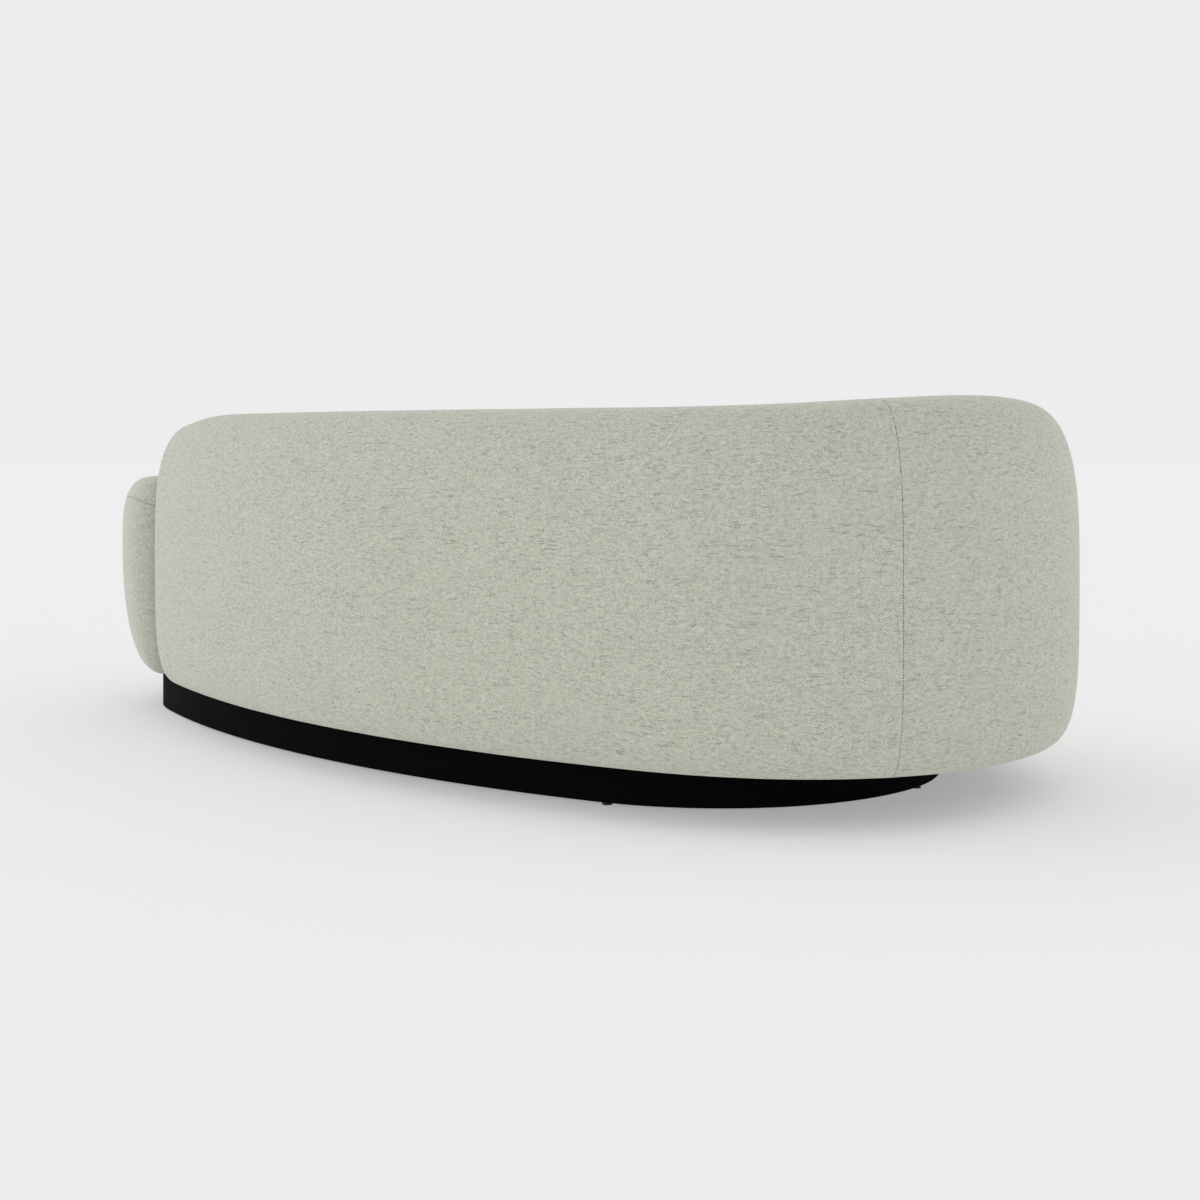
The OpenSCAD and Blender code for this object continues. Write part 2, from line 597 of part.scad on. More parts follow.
module plinth_skirt() color(black_colour) centred() difference() {
    plate(glide_h, panel_z - glide_h, plinth_outline(0));
    plate(glide_h - overrun, panel_z - glide_h + 2 * overrun, plinth_outline(plinth_t));
}

// How far the panel is cut back below a rounded end, past its rib
module end_cuts() for (e = [
    [back_low_c, back_start_angle, -1, back_t / 2 - drawn_in(panel_top, back_roll, back_low_curve)],
    [back_high_c, back_end_angle, 1, back_t / 2 - drawn_in(panel_top, back_roll, back_low_curve)],
    [arm_back_c, arm_back, 1, arm_t / 2 - drawn_in(panel_top, arm_roll, arm_low_curve)],
    [arm_front_c, arm_front_angle, -1, arm_t / 2 - drawn_in(panel_top, arm_roll, arm_low_curve)]
]) plate(panel_z - overrun, ply_t + 2 * overrun, [for (i = [0:dome_seg * 2])
    e[0] + e[2] * (ply_t / 2 + soft_gap) * dir(e[1] + 90)
        + (e[3] + soft_gap) * dir(e[1] + e[2] * 90 * i / dome_seg)]);

bearer_count = 4;
function bearer_x(i) = mix(plinth_high_front_c[0], plinth_low_front_c[0], i / (bearer_count - 1));
module bearer_slab(i, h) translate([bearer_x(i) - rail_t / 2, plinth_rear_c[1], panel_z - h])
    cube([rail_t, 2 * plinth_rear_r, h]);
// Where an upright line in plan at x crosses a closed outline
function crossings(points, x) = [
    for (i = [0:len(points) - 1])
        let (a = points[i], b = points[(i + 1) % len(points)])
        if ((a[0] < x) != (b[0] < x)) mix(a[1], b[1], (x - a[0]) / (b[0] - a[0]))
];
bearer_line = plinth_outline(plinth_t);
bearer_ends = [for (i = [0:bearer_count - 1]) let (y = crossings(bearer_line, bearer_x(i)))
    [min(y) + screw_end_in, max(y) - screw_end_in]];
module screw_holes(z, h, wide) for (i = [0:bearer_count - 1]) for (y = bearer_ends[i])
    translate([bearer_x(i), y, z]) cylinder(d = screw_d + wide, h = h, $fn = 32);
module plinth_bearers() color(ply_colour) centred() difference() {
    intersection() {
        plate(panel_z - bearer_h, bearer_h, plinth_outline(plinth_t));
        union() {
            for (i = [0:bearer_count - 1]) bearer_slab(i, bearer_h);
        }
    }
    screw_holes(panel_z - screw_bite, screw_bite + overrun, 2 * screw_clear);
}

module plinth_screws() color(steel_colour) centred() {
    screw_holes(panel_z - screw_bite + screw_clear, screw_bite + ply_t - screw_clear, 0);
    screw_holes(panel_top, screw_head_h, screw_d);
}

// Stations of the back's ribs and of the arm's ribs, as centre, radius and turn
back_stations = [for (i = [0, 2, 4, 6, 8, 10, 12, 15, 17, 20, 23]) back_columns[i]];
arm_stations = [for (i = [0, 3, 7, 10]) arm_columns[i]];
module rib_holes(stations, inset, z, h, wide) for (s = stations)
    translate(s[0] + (s[1] - inset) * dir(s[2])) translate([0, 0, z])
        cylinder(d = screw_d + wide, h = h, $fn = 32);
back_screw_inset = mix(panel_inset, back_core_t, rib_screw_share);
arm_screw_inset = mix(panel_inset, arm_core_t, rib_screw_share);

module base_panel() color(ply_colour) centred() difference() {
    plate(panel_z, ply_t, body_outline(panel_inset));
    screw_holes(panel_z - overrun, ply_t + 2 * overrun, 2 * screw_clear);
    for (set = [[back_stations, back_screw_inset], [arm_stations, arm_screw_inset]]) {
        rib_holes(set[0], set[1], panel_z - overrun, ply_t + 2 * overrun, 2 * screw_clear);
        rib_holes(set[0], set[1], panel_z - overrun, screw_head_h + overrun + screw_clear,
            screw_d + 2 * screw_clear);
    }
    end_cuts();
}

// Seat frame and springing
module seat_front_rail() color(wood_colour) centred() plate(panel_top, rail_h, let (
    outer = seat_line(front_rail_inset, 0), inner = seat_line(front_rail_inset + rail_t, 0)
) concat([for (i = [0:front_spans]) outer[i]], [for (i = [front_spans:-1:0]) inner[i]]));

module seat_rear_rail() color(wood_colour) centred() plate(panel_top, rail_h, strip([
    [rear_c, rear_r, back_start_angle, rear_angle, rear_seg * fine_seg],
    [corner_c, corner_r, rear_angle, corner_angle, corner_seg * fine_seg],
    [high_c, high_end_r, corner_angle, back_end_angle, high_seg * fine_seg]
], back_core_t + soft_gap, back_core_t + soft_gap + rail_t));

module seat_low_end_rail() color(wood_colour) centred() plate(panel_top, rail_h, strip([
    [low_c, low_end_r, arm_front_angle, arm_back, arm_seg * fine_seg]
], arm_core_t + soft_gap, arm_core_t + soft_gap + rail_t));

cross_rail_h = rail_h - cross_rail_drop;
function cross_x(i) = bearer_x(i) - cross_shift;
module seat_cross_rails() color(wood_colour) centred() intersection() {
    plate(panel_top, cross_rail_h, seat_line(front_rail_inset + rail_t + soft_gap, rail_t - inner_foam_t));
    union() {
        for (i = [0:bearer_count - 1]) translate([cross_x(i) - rail_t / 2, low_c[1] - rear_r, panel_top])
            cube([rail_t, 2 * rear_r, cross_rail_h]);
    }
}

// Straps fan out from the rear curve's centre and lie on the rails
strap_count = 11;
strap_from_angle = 66;
strap_to_angle = 116;
strap_bite = rail_t / 5;
module seat_webbing() color(web_colour) centred() intersection() {
    plate(rail_top, web_t, seat_line(front_rail_inset + strap_bite, strap_bite - inner_foam_t));
    union() {
        for (i = [0:strap_count - 1]) rotate(mix(strap_from_angle, strap_to_angle, i / (strap_count - 1)))
            translate([rear_r / 2, -strap_w / 2, rail_top]) cube([rear_r / 2, strap_w, web_t]);
    }
}

module deck_cloth() color(web_colour) centred()
    plate(deck_z, deck_cloth_t, seat_line(front_rail_inset + strap_bite, strap_bite - inner_foam_t));

core_skin = cover_t + soft_gap;
seat_skin = core_skin + seat_slack;
core_rows = concat([low_angle_at(foam_z, under_z, front_bulge_z, front_low_curve)],
    [for (i = [0:2]) front_rows[low_seg + i]], [core_angle]);
module seat_foam() color(foam_colour) centred() let (
    rings = rim_rings(core_rows, 0, len(core_rows) - 1, seat_skin, core_skin)
) stack([for (k = [0:len(rings) - 1]) level(rings[k], k == 0 ? foam_z
        : k == len(rings) - 1 ? core_top_z : rings[k][0][2])]);

topper_rows = concat([front_rows[seat_seam_row - 1], core_angle],
    [for (i = [1:3]) front_rows[seat_seam_row + i]]);
module seat_topper() color(foam_colour) centred() let (
    rings = rim_rings(topper_rows, 1, 4, seat_skin, core_skin)
) stack(concat([level(rings[0], core_top_z + soft_gap)], [for (k = [1:3]) rings[k]],
    crown_rings(seat_skin, core_skin, topper_shares)));

module seat_cover() color(cover_colour) centred() let (
    outer = concat(rim_rings(front_rows, seat_seam_row, front_top_row, 0, 0),
        crown_rings(0, 0, crown_shares)),
    inner = concat(rim_rings(front_rows, seat_seam_row, front_top_row, cover_t, cover_t),
        crown_rings(cover_t, cover_t, crown_shares)),
    count = len(outer[0])
) cap_sheet(by_column(outer, count), by_column(inner, count));

pad_rows = concat([for (i = [2:4]) low_rows[i]],
    [low_angle_at(rail_top, under_z, front_bulge_z, front_low_curve)]);
module front_padding() color(foam_colour) centred() let (
    side = core_skin + 2 * dome_slack,
    outer = rim_rings(pad_rows, 0, 3, seat_skin, side),
    inner = [for (r = outer) level(seat_line(front_rail_inset - dome_slack, side, r[0][2]), r[0][2])]
) sheet(by_column(outer, front_spans + 1), by_column(inner, front_spans + 1));

module front_cover() color(cover_colour) centred() let (
    outer = rim_rings(front_rows, 0, seat_seam_row, 0, 0),
    inner = rim_rings(front_rows, 0, seat_seam_row, cover_t, cover_t)
) sheet(by_column(outer, front_spans + 1), by_column(inner, front_spans + 1));

// Back frame
rib_top = back_core_top - ply_t - soft_gap;
rib_depth = thin_foam_t + rib_in + soft_gap;
function rib_outline(kind, rows, col, least, thick, top) = let (
    edge = [for (k = [1:len(rows) - 1]) core_uz(kind, rows, k, col, rib_depth, [least, least, top])]
) concat([[panel_inset, panel_top]], edge, [[thick, top], [thick, panel_top]]);
module back_ribs() color(ply_colour) centred() difference() {
    for (s = back_stations) across(s[0], s[1], s[2], ply_t)
        polygon(rib_outline("back", back_foam_rows, s, board_inset + rib_in, back_core_t, rib_top));
    rib_holes(back_stations, back_screw_inset, panel_top - overrun, screw_bite + overrun, 2 * screw_clear);
}

module rib_screws() color(steel_colour) centred() {
    for (set = [[back_stations, back_screw_inset], [arm_stations, arm_screw_inset]]) {
        rib_holes(set[0], set[1], panel_z, ply_t + screw_bite - screw_clear, 0);
        rib_holes(set[0], set[1], panel_z, screw_head_h, screw_d);
    }
}

// Half-round boards that carry the foam at a rounded end, fixed to the rib there.
// side is 1 at the wall's last end and -1 at its first.
module end_formers(c, turn, side, outer_r, inner_r, levels) {
    rib_face = side * (ply_t / 2 + soft_gap) * dir(turn + 90);
    arc = [for (i = [1:dome_seg - 1]) let (share = i / dome_seg)
        c + mix(outer_r, inner_r, share) * dir(turn + side * 180 * share)];
    outline = concat([c + outer_r * dir(turn) + rib_face], arc, [c - inner_r * dir(turn) + rib_face]);
    for (z = levels) plate(z, ply_t, outline);
}
former_shares = [0.3, 0.6, 0.9];
function former_levels(top) = [for (share = former_shares) mix(panel_top, top, share)];
module back_end_formers() color(ply_colour) centred()
    for (e = [[back_low_c, back_start_angle, -1], [back_high_c, back_end_angle, 1]])
        end_formers(e[0], e[1], e[2], back_t / 2 - former_inset, back_t / 2 - inner_foam_t - soft_gap,
            former_levels(rib_top));

back_line = [
    [rear_c, rear_r, back_start_angle, rear_angle, rear_seg],
    [corner_c, corner_r, rear_angle, corner_angle, corner_seg],
    [high_c, high_end_r, corner_angle, seam_angle, high_seam_seg],
    [high_c, high_end_r, seam_angle, back_end_angle, high_seg]
];
module back_top_rail() color(ply_colour) centred()
    plate(rib_top + soft_gap, ply_t, strip(back_line, rail_inset, back_t - rail_inset));

module back_outer_board() color(board_colour) centred()
    plate(board_low_z, board_high_z - board_low_z, strip(back_line, board_inset, board_inset + board_t));

module back_webbing() color(web_colour) centred() for (i = [0:3])
    plate(mix(seat_top_z, back_core_top - strap_w, i / 3) - strap_w / 2, strap_w,
        strip(back_line, back_core_t, back_core_t + web_t));

// Back upholstery
function foam_core(top) = [outer_foam_t, inner_foam_t - web_t, top + soft_gap];
module wall_cover(kind, cols, rows, from, to, low = 0, high) sheet(
    wall_grid(kind, cols, rows, from, to, 0, undef, low, high),
    wall_grid(kind, cols, rows, from, to, cover_t, undef, low, high)
);
module back_foam(from, to) color(foam_colour) centred() sheet(
    wall_grid("back", back_columns, back_foam_rows, from, to, core_skin, undef, 1),
    wall_grid("back", back_columns, back_foam_rows, from, to, thin_foam_t, foam_core(back_core_top), 1)
);
module back_cover(from, to) color(cover_colour) centred()
    wall_cover("back", back_columns, back_rows, from, to);
module back_outer_foam() back_foam(low_tip_column, len(back_columns) + high_tip_column);
module back_inner_foam() back_foam(high_tip_column, low_tip_column);
module back_rear_cover() back_cover(low_tip_column, len(back_columns) + seam_column);
module back_end_cover() back_cover(seam_column, high_tip_column);
module back_inner_cover() back_cover(high_tip_column, low_tip_column);

// Arm frame
arm_rib_top = arm_core_top - ply_t - soft_gap;
module arm_ribs() color(ply_colour) centred() difference() {
    for (s = arm_stations) across(s[0], s[1], s[2], ply_t)
        polygon(rib_outline("arm", arm_foam_rows, s, arm_board_inset + rib_in, arm_core_t, arm_rib_top));
    rib_holes(arm_stations, arm_screw_inset, panel_top - overrun, screw_bite + overrun, 2 * screw_clear);
}

module arm_end_formers() color(ply_colour) centred()
    for (e = [[arm_front_c, arm_front_angle, -1], [arm_back_c, arm_back, 1]])
        end_formers(e[0], e[1], e[2], arm_t / 2 - arm_former_inset, arm_t / 2 - inner_foam_t - soft_gap,
            former_levels(arm_rib_top));

arm_line = [[low_c, low_end_r, arm_front_angle, arm_back, arm_seg]];
module arm_top_rail() color(ply_colour) centred()
    plate(arm_rib_top + soft_gap, ply_t, strip(arm_line, arm_rail_inset, arm_core_t - soft_gap));

module arm_outer_board() color(board_colour) centred()
    plate(arm_board_low_z, arm_board_high_z - arm_board_low_z,
        strip(arm_line, arm_board_inset, arm_board_inset + board_t));

module arm_webbing() color(web_colour) centred()
    plate(seat_top_z - strap_w, strap_w, strip(arm_line, arm_core_t, arm_core_t + web_t));

// Arm upholstery
last_arm_column = len(arm_columns) - 1;
module arm_foam() color(foam_colour) centred() cap_sheet(
    wall_grid("arm", arm_columns, arm_foam_rows, 0, last_arm_column, core_skin, undef, 1),
    wall_grid("arm", arm_columns, arm_foam_rows, 0, last_arm_column, thin_foam_t, foam_core(arm_core_top), 1)
);
module arm_cover(from, to) color(cover_colour) centred()
    wall_cover("arm", arm_columns, arm_rows, from, to, 0, arm_seam_row);
module arm_side_cover() arm_cover(arm_front_tip, len(arm_columns) + arm_back_tip);
module arm_inner_cover() arm_cover(arm_back_tip, arm_front_tip);
module arm_top_cover() color(cover_colour) centred() cap_sheet(
    wall_grid("arm", arm_columns, arm_rows, 0, last_arm_column, 0, undef, arm_seam_row),
    wall_grid("arm", arm_columns, arm_rows, 0, last_arm_column, cover_t, undef, arm_seam_row)
);

glides();
plinth_skirt();
plinth_bearers();
base_panel();
plinth_screws();
seat_front_rail();
seat_rear_rail();
seat_low_end_rail();
seat_cross_rails();
seat_webbing();
deck_cloth();
seat_foam();
seat_topper();
seat_cover();
front_padding();
front_cover();
back_ribs();
rib_screws();
back_end_formers();
back_top_rail();
back_outer_board();
back_webbing();
back_outer_foam();
back_inner_foam();
back_rear_cover();
back_end_cover();
back_inner_cover();
arm_ribs();
arm_end_formers();
arm_top_rail();
arm_outer_board();
arm_webbing();
arm_foam();
arm_side_cover();
arm_inner_cover();
arm_top_cover();
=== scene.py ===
"""Curved corner sofa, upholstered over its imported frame.

The high back follows the rear and wraps one end, the low arm wraps the other, and both stand
with the fixed seat on a recessed black plinth. Lengths are in metres. Front is -Y, rear +Y.
"""

import cmath
import logging
import math
from dataclasses import dataclass, field
from enum import Enum
from functools import cached_property
from typing import Callable, Iterable, Protocol, Sequence

import bpy
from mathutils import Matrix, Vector, noise


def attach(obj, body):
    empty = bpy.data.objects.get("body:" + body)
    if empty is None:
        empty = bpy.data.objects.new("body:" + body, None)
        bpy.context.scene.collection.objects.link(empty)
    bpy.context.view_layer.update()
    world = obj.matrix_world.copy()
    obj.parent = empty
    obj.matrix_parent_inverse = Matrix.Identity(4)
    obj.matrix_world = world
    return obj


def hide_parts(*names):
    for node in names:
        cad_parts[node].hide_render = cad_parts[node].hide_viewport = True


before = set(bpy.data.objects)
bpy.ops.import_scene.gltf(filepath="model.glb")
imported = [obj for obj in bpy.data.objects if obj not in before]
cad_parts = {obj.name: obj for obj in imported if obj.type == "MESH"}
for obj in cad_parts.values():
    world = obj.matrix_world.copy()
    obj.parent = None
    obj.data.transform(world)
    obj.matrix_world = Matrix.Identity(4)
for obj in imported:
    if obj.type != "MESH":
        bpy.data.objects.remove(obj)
LOG = logging.getLogger("sofa")

Colour = tuple[float, float, float]
# Distances from a sewn edge at which the cloth has extra lines, so that the seam can roll in
SEAM_LINES = (0.0, 0.0004, 0.0009, 0.0015, 0.0022, 0.0032, 0.0048, 0.0075)
# Radius with which cloth rolls in at a seam, and the length of one gather beside it
SEAM_R, GATHER_PITCH = 0.0010, 0.017
# Places at which a profile is measured for its rows, and how they crowd at its steep ends
CLIMB_STEPS, CLIMB_EASE = 160, 2.6
# Depth of the cloth's wide and small unevenness, and distance from a seam at which it is full
SLACK_WIDE, SLACK_SMALL, SLACK_REACH = 0.0008, 0.0003, 0.03
# Depth and reach of the gathers beside a seam, and how far they wander, in radians
GATHER_DEPTH, GATHER_REACH, WANDER = 0.0007, 0.009, 2.2
# Lumps to the metre: of the unevenness, of webbing, of lining, of the gathers along and across
WIDE_LUMPS, SMALL_LUMPS, BAND_LUMPS, LINING_LUMPS, WANDER_LUMPS = 4.0, 13.0, 9.0, 40.0, (31, 18)
# Share of the way round a rounded end over which it keeps facing as it did
END_HOLD = 0.4
# Points of a laid piece that are nearer to each other than this are one
WELD = 0.000002
# More open rings than a foam has when it is laid
MOST_HOLES = 4
# Width at which a search ends, and the least length that is divided by
SAME, TINY = 1e-7, 1e-12
# Half the stretch of a profile over which its slope is measured, in degrees
SLOPE_HALF = 0.5
# Thickness of the cover with its fleece and of the black lining discs that stand in for shade in
# gaps, and how far webbing hangs
COVER_T, LINING_T, SAG = 0.002, 0.0012, 0.0012
# Sides and hem of a disc of black lining, which stands in for shade in a gap, and its share of a
# true circle
LINING_SIDES, LINING_HEM, LINING_SHARE = 48, 0.008, 0.995
# Gaps between a core and the foam on it, and between the two foams of the back
CORE_GAP, FOAM_GAP = 0.0003, 0.0002


# Small maths


def mix(a: float, b: float, share: float) -> float:
    """The value a share of the way from a to b."""
    return a + (b - a) * share


def ease(share: float) -> float:
    """A smooth step from 0 to 1."""
    s = max(0.0, min(1.0, share))
    return s * s * (3 - 2 * s)


def towards(turn: float) -> complex:
    """The unit step in plan in the direction of a turn, in degrees from +X through +Y."""
    return cmath.rect(1.0, math.radians(turn))


def turn_of(way: complex) -> float:
    """The turn of a step in plan, in degrees."""
    return math.degrees(cmath.phase(way))


def meet(a: complex, ra: float, b: complex, rb: float, side: int) -> complex:
    """Where two circles cross.

    Args:
        a, ra: centre and radius of the first circle.
        b, rb: centre and radius of the second circle.
        side: 1 for the crossing on the left of the way from a to b, -1 for the other.

    Returns:
        The crossing in plan.
    """
    way = b - a
    span = abs(way)
    near = (span * span + ra * ra - rb * rb) / (2 * span)
    return a + way / span * complex(near, side * math.sqrt(max(0.0, ra * ra - near * near)))


class Ends(Enum):
    """Which ends of a stretch of cloth are sewn: the first, the last."""

    BOTH = (True, True)
    FIRST = (True, False)
    LAST = (False, True)
    NONE = (False, False)


def spaced(length: float, step: float, sewn: Ends) -> list[float]:
    """Places along a stretch of cloth, close together at its sewn ends.

    Args:
        length: length of the stretch.
        step: usual distance between places.
        sewn: which of its ends are sewn.

    Returns:
        Distances from the start, in order.
    """
    first, last = sewn.value
    start = list(SEAM_LINES) if first else [0.0]
    end = [length - d for d in reversed(SEAM_LINES)] if last else [length]
    room = end[0] - start[-1]
    count = max(1, round(room / step))
    return start + [start[-1] + room * i / count for i in range(1, count)] + end


# Plan of the body


@dataclass(frozen=True)
class Column:
    """One upright line of a soft wall: its place in plan and how far it faces outwards."""

    centre: complex
    radius: float
    turn: float
    outer: float
    station: float
    run: float = 0.0


@dataclass(frozen=True)
class Arc:
    """A stretch of a wall in plan."""

    centre: complex
    radius: float
    start: float
    end: float
    outer: tuple[float, float] = (1.0, 1.0)
    station: tuple[float, float] = (0.0, 0.0)

    @property
    def length(self) -> float:
        """Length of the stretch."""
        return abs(self.radius * math.radians(self.end - self.start))

    def column(self, share: float, run: float = 0.0) -> Column:
        """The upright line at a share of the way along.

        Args:
            share: 0 at the start and 1 at the end.
            run: distance along the cloth, kept in the column.

        Returns:
            The column.
        """
        return Column(self.centre, self.radius, mix(self.start, self.end, share),
                      face_share(*self.outer, share), mix(*self.station, share), run)


def face_share(start: float, end: float, share: float) -> float:
    """How far a rounded end still faces outwards, at a share of the way round it."""
    if start == end:
        return start
    if start > end:
        return 1 - ease((share - END_HOLD) / (1 - END_HOLD))
    return ease(share / (1 - END_HOLD))


@dataclass(frozen=True)
class Plan:
    """Radii, turns and thicknesses that place the back, arm and seat in plan."""

    rear_r: float = 2.596
    corner_r: float = 0.746
    high_end_r: float = 0.585
    low_end_r: float = 0.528
    low_end_proud: float = 0.026
    front_hollow_r: float = 1.600
    back_t: float = 0.240
    arm_t: float = 0.200
    low_end_turn: float = 65.0
    rear_turn: float = 104.7
    corner_turn: float = 124.3
    seam_turn: float = 146.0
    back_start: float = 71.0
    back_end: float = 215.0
    arm_front: float = -62.0
    slack: float = 0.0003
    rear: complex = -0.133057 - 1.973740j

    @cached_property
    def corner(self) -> complex:
        """Centre of the corner's arc."""
        return self.rear + (self.rear_r - self.corner_r) * towards(self.rear_turn)

    @cached_property
    def high(self) -> complex:
        """Centre of the high end's arc."""
        return self.corner + (self.corner_r - self.high_end_r) * towards(self.corner_turn)

    @cached_property
    def low(self) -> complex:
        """Centre of the low end's arc."""
        reach = self.rear_r - self.low_end_r + self.low_end_proud
        return self.rear + reach * towards(self.low_end_turn)

    @cached_property
    def front(self) -> complex:
        """Centre of the hollow front's arc."""
        return meet(self.high, self.front_hollow_r + self.high_end_r,
                    self.low, self.front_hollow_r + self.low_end_r, -1)

    @cached_property
    def back_low(self) -> complex:
        """Centre of the back's rounded end at the arm."""
        return self.rear + (self.rear_r - self.back_t / 2) * towards(self.back_start)

    @cached_property
    def back_high(self) -> complex:
        """Centre of the back's rounded end at the front."""
        return self.high + (self.high_end_r - self.back_t / 2) * towards(self.back_end)

    @cached_property
    def arm_fore(self) -> complex:
        """Centre of the arm's rounded front end."""
        return self.low + (self.low_end_r - self.arm_t / 2) * towards(self.arm_front)

    @cached_property
    def arm_rear(self) -> complex:
        """Centre of the arm's rounded rear end, tucked against the back."""
        return meet(self.low, self.low_end_r - self.arm_t / 2, self.back_low,
                    (self.back_t + self.arm_t) / 2 + self.slack, -1)

    @cached_property
    def arm_back(self) -> float:
        """Turn at which the arm's rear end begins."""
        return turn_of(self.arm_rear - self.low)

    def nook(self, inward: float) -> complex:
        """The place at a distance towards the sitter from where the arm's end touches the back."""
        across = self.arm_rear - self.back_low
        way = across / abs(across) * 1j
        if abs(self.back_low + way - self.front) > abs(self.back_low - self.front):
            way = -way
        return self.back_low + across * self.back_t / (self.back_t + self.arm_t) + way * inward

    @cached_property
    def high_front_turn(self) -> float:
        """Turn at which the high end meets the hollow front."""
        return turn_of(self.front - self.high) + 360

    @cached_property
    def low_front_turn(self) -> float:
        """Turn at which the low end meets the hollow front."""
        return turn_of(self.front - self.low)


@dataclass(frozen=True)
class Levels:
    """Heights above the floor."""

    under: float = 0.093
    foam: float = 0.2703
    bulge: float = 0.420
    seat_top: float = 0.425
    front_bulge: float = 0.300
    arm_top: float = 0.584
    arm_seam: float = 0.534
    top_low: float = 0.733
    top_mid: float = 0.729
    top_high: float = 0.752
    back_core_top: float = 0.684
    arm_core_top: float = 0.540


@dataclass(frozen=True)
class Profile:
    """Side view of a soft wall, rounded below its fullest level and above it."""

    low: float
    bulge: float
    top: float
    roll: float
    low_curve: float
    crest: float
    top_curve: float = 3.0

    def at(self, angle: float) -> tuple[float, float]:
        """Inset from the outer face and height, at an angle from -90 below to 90 on top."""
        c, s = math.cos(math.radians(angle)), math.sin(math.radians(abs(angle)))
        depth, end, curve = ((self.roll, self.low, self.low_curve) if angle < 0 else
                             (self.crest, self.top, self.top_curve))
        bend = 2 / curve
        return depth * (1 - abs(c) ** bend), mix(self.bulge, end, s ** bend)

    def low_angle(self, z: float) -> float:
        """The angle below the fullest level at which the height is z."""
        share = (self.bulge - z) / (self.bulge - self.low)
        return -math.degrees(math.asin(share ** (self.low_curve / 2)))

    def top_angle(self, z: float) -> float:
        """The angle above the fullest level at which the height is z."""
        share = (z - self.bulge) / (self.top - self.bulge)
        return math.degrees(math.asin(share ** (self.top_curve / 2)))


def moved_in(section: Callable[[float], tuple[float, float]], angle: float,
             depth: float) -> tuple[float, float]:
    """A point of a section, moved inwards.

    Args:
        section: inset and height at an angle.
        angle: the angle of the point.
        depth: how far it is moved, square to the section.

    Returns:
        Inset and height of the moved point.
    """
    before = section(max(-90.0, angle - SLOPE_HALF))
    after = section(min(90.0, angle + SLOPE_HALF))
    inset, z = section(angle)
    way = complex(after[0] - before[0], after[1] - before[1])
    way /= abs(way)
    return inset + depth * way.imag, z - depth * way.real


PLAN = Plan()
LEVEL = Levels()


# Cloth laid on a form


@dataclass(frozen=True)
class Row:
    """One line along a wall: angle on the profile, place up the cloth, and a turned-in lip."""

    angle: float
    run: float
    lip: float = 0.0


@dataclass
class Spot:
    """A point of a piece: where it lies, its place on the cloth and its distance from a seam."""

    place: Vector
    cloth: tuple[float, float]
    seam: float = 1.0


def edit(piece: bpy.types.Object, *steps: Callable[[], object]) -> None:
    """Run steps in edit mode on the whole mesh of a piece."""
    bpy.context.view_layer.objects.active = piece
    bpy.ops.object.mode_set(mode="EDIT")
    bpy.ops.mesh.select_all(action="SELECT")
    for step in steps:
        step()
    bpy.ops.object.mode_set(mode="OBJECT")


def weld() -> None:
    """Join the selected points that lie on each other."""
    bpy.ops.mesh.remove_doubles(threshold=WELD)


def face_out() -> None:
    """Turn the selected faces all one way, outwards where they close a body."""
    bpy.ops.mesh.normals_make_consistent(inside=False)


def ringed(skin: list[Vector], core: list[Vector]) -> list[Spot]:
    """A closed line of spots, out along the skin of a foam and back along its core."""
    return [Spot(p, (0.0, 0.0)) for p in skin + core[::-1] + skin[:1]]


@dataclass
class Panel:
    """A grid of spots, in lines along the piece, that becomes one mesh."""

    lines: list[list[Spot]]

    def lay(self, name: str, inside: Vector | None = None) -> bpy.types.Object:
        """Make the mesh from a grid that is bent to the spots.

        Args:
            name: name of the piece.
            inside: a point that the first face looks away from, or None to leave the faces.

        Returns:
            The new object, smooth shaded, at the origin.
        """
        across, up = len(self.lines) - 1, len(self.lines[0]) - 1
        bpy.ops.object.select_all(action="DESELECT")
        bpy.ops.mesh.primitive_grid_add(x_subdivisions=across, y_subdivisions=up, size=2)
        piece = bpy.context.object
        piece.name = piece.data.name = name
        mesh = piece.data
        spots = []
        for v in mesh.vertices:
            i = round((v.co.x + 1) / 2 * across)
            k = round((v.co.y + 1) / 2 * up)
            spots.append(self.lines[i][k])
        mesh.vertices.foreach_set("co", [c for s in spots for c in s.place])
        layer = mesh.uv_layers.active
        layer.name = "cloth"
        cloth = [c for loop in mesh.loops for c in spots[loop.vertex_index].cloth]
        layer.data.foreach_set("uv", cloth)
        near = mesh.attributes.new("seam_distance", "FLOAT", "POINT")
        near.data.foreach_set("value", [s.seam for s in spots])
        mesh.update()
        edit(piece, weld)
        bpy.ops.object.shade_smooth()
        if inside is not None:
            face = mesh.polygons[len(mesh.polygons) // 2]
            if face.normal.dot(face.center - inside) < 0:
                edit(piece, bpy.ops.mesh.flip_normals)
        return piece

    @property
    def area(self) -> float:
        """Area of the cloth, one side."""
        total = 0.0
        for a, b in zip(self.lines, self.lines[1:]):
            for p, q, r, s in zip(a, b, b[1:], a[1:]):
                total += ((r.place - p.place).cross(s.place - q.place)).length / 2
        return total


def thicken(piece: bpy.types.Object, thickness: float) -> None:
    """Give a laid panel its thickness, inwards from its face."""
    bpy.context.view_layer.objects.active = piece
    bpy.ops.object.modifier_add(type="SOLIDIFY")
    solid = piece.modifiers[-1]
    solid.thickness = thickness
    solid.offset = -1
    bpy.ops.object.modifier_apply(modifier=solid.name)


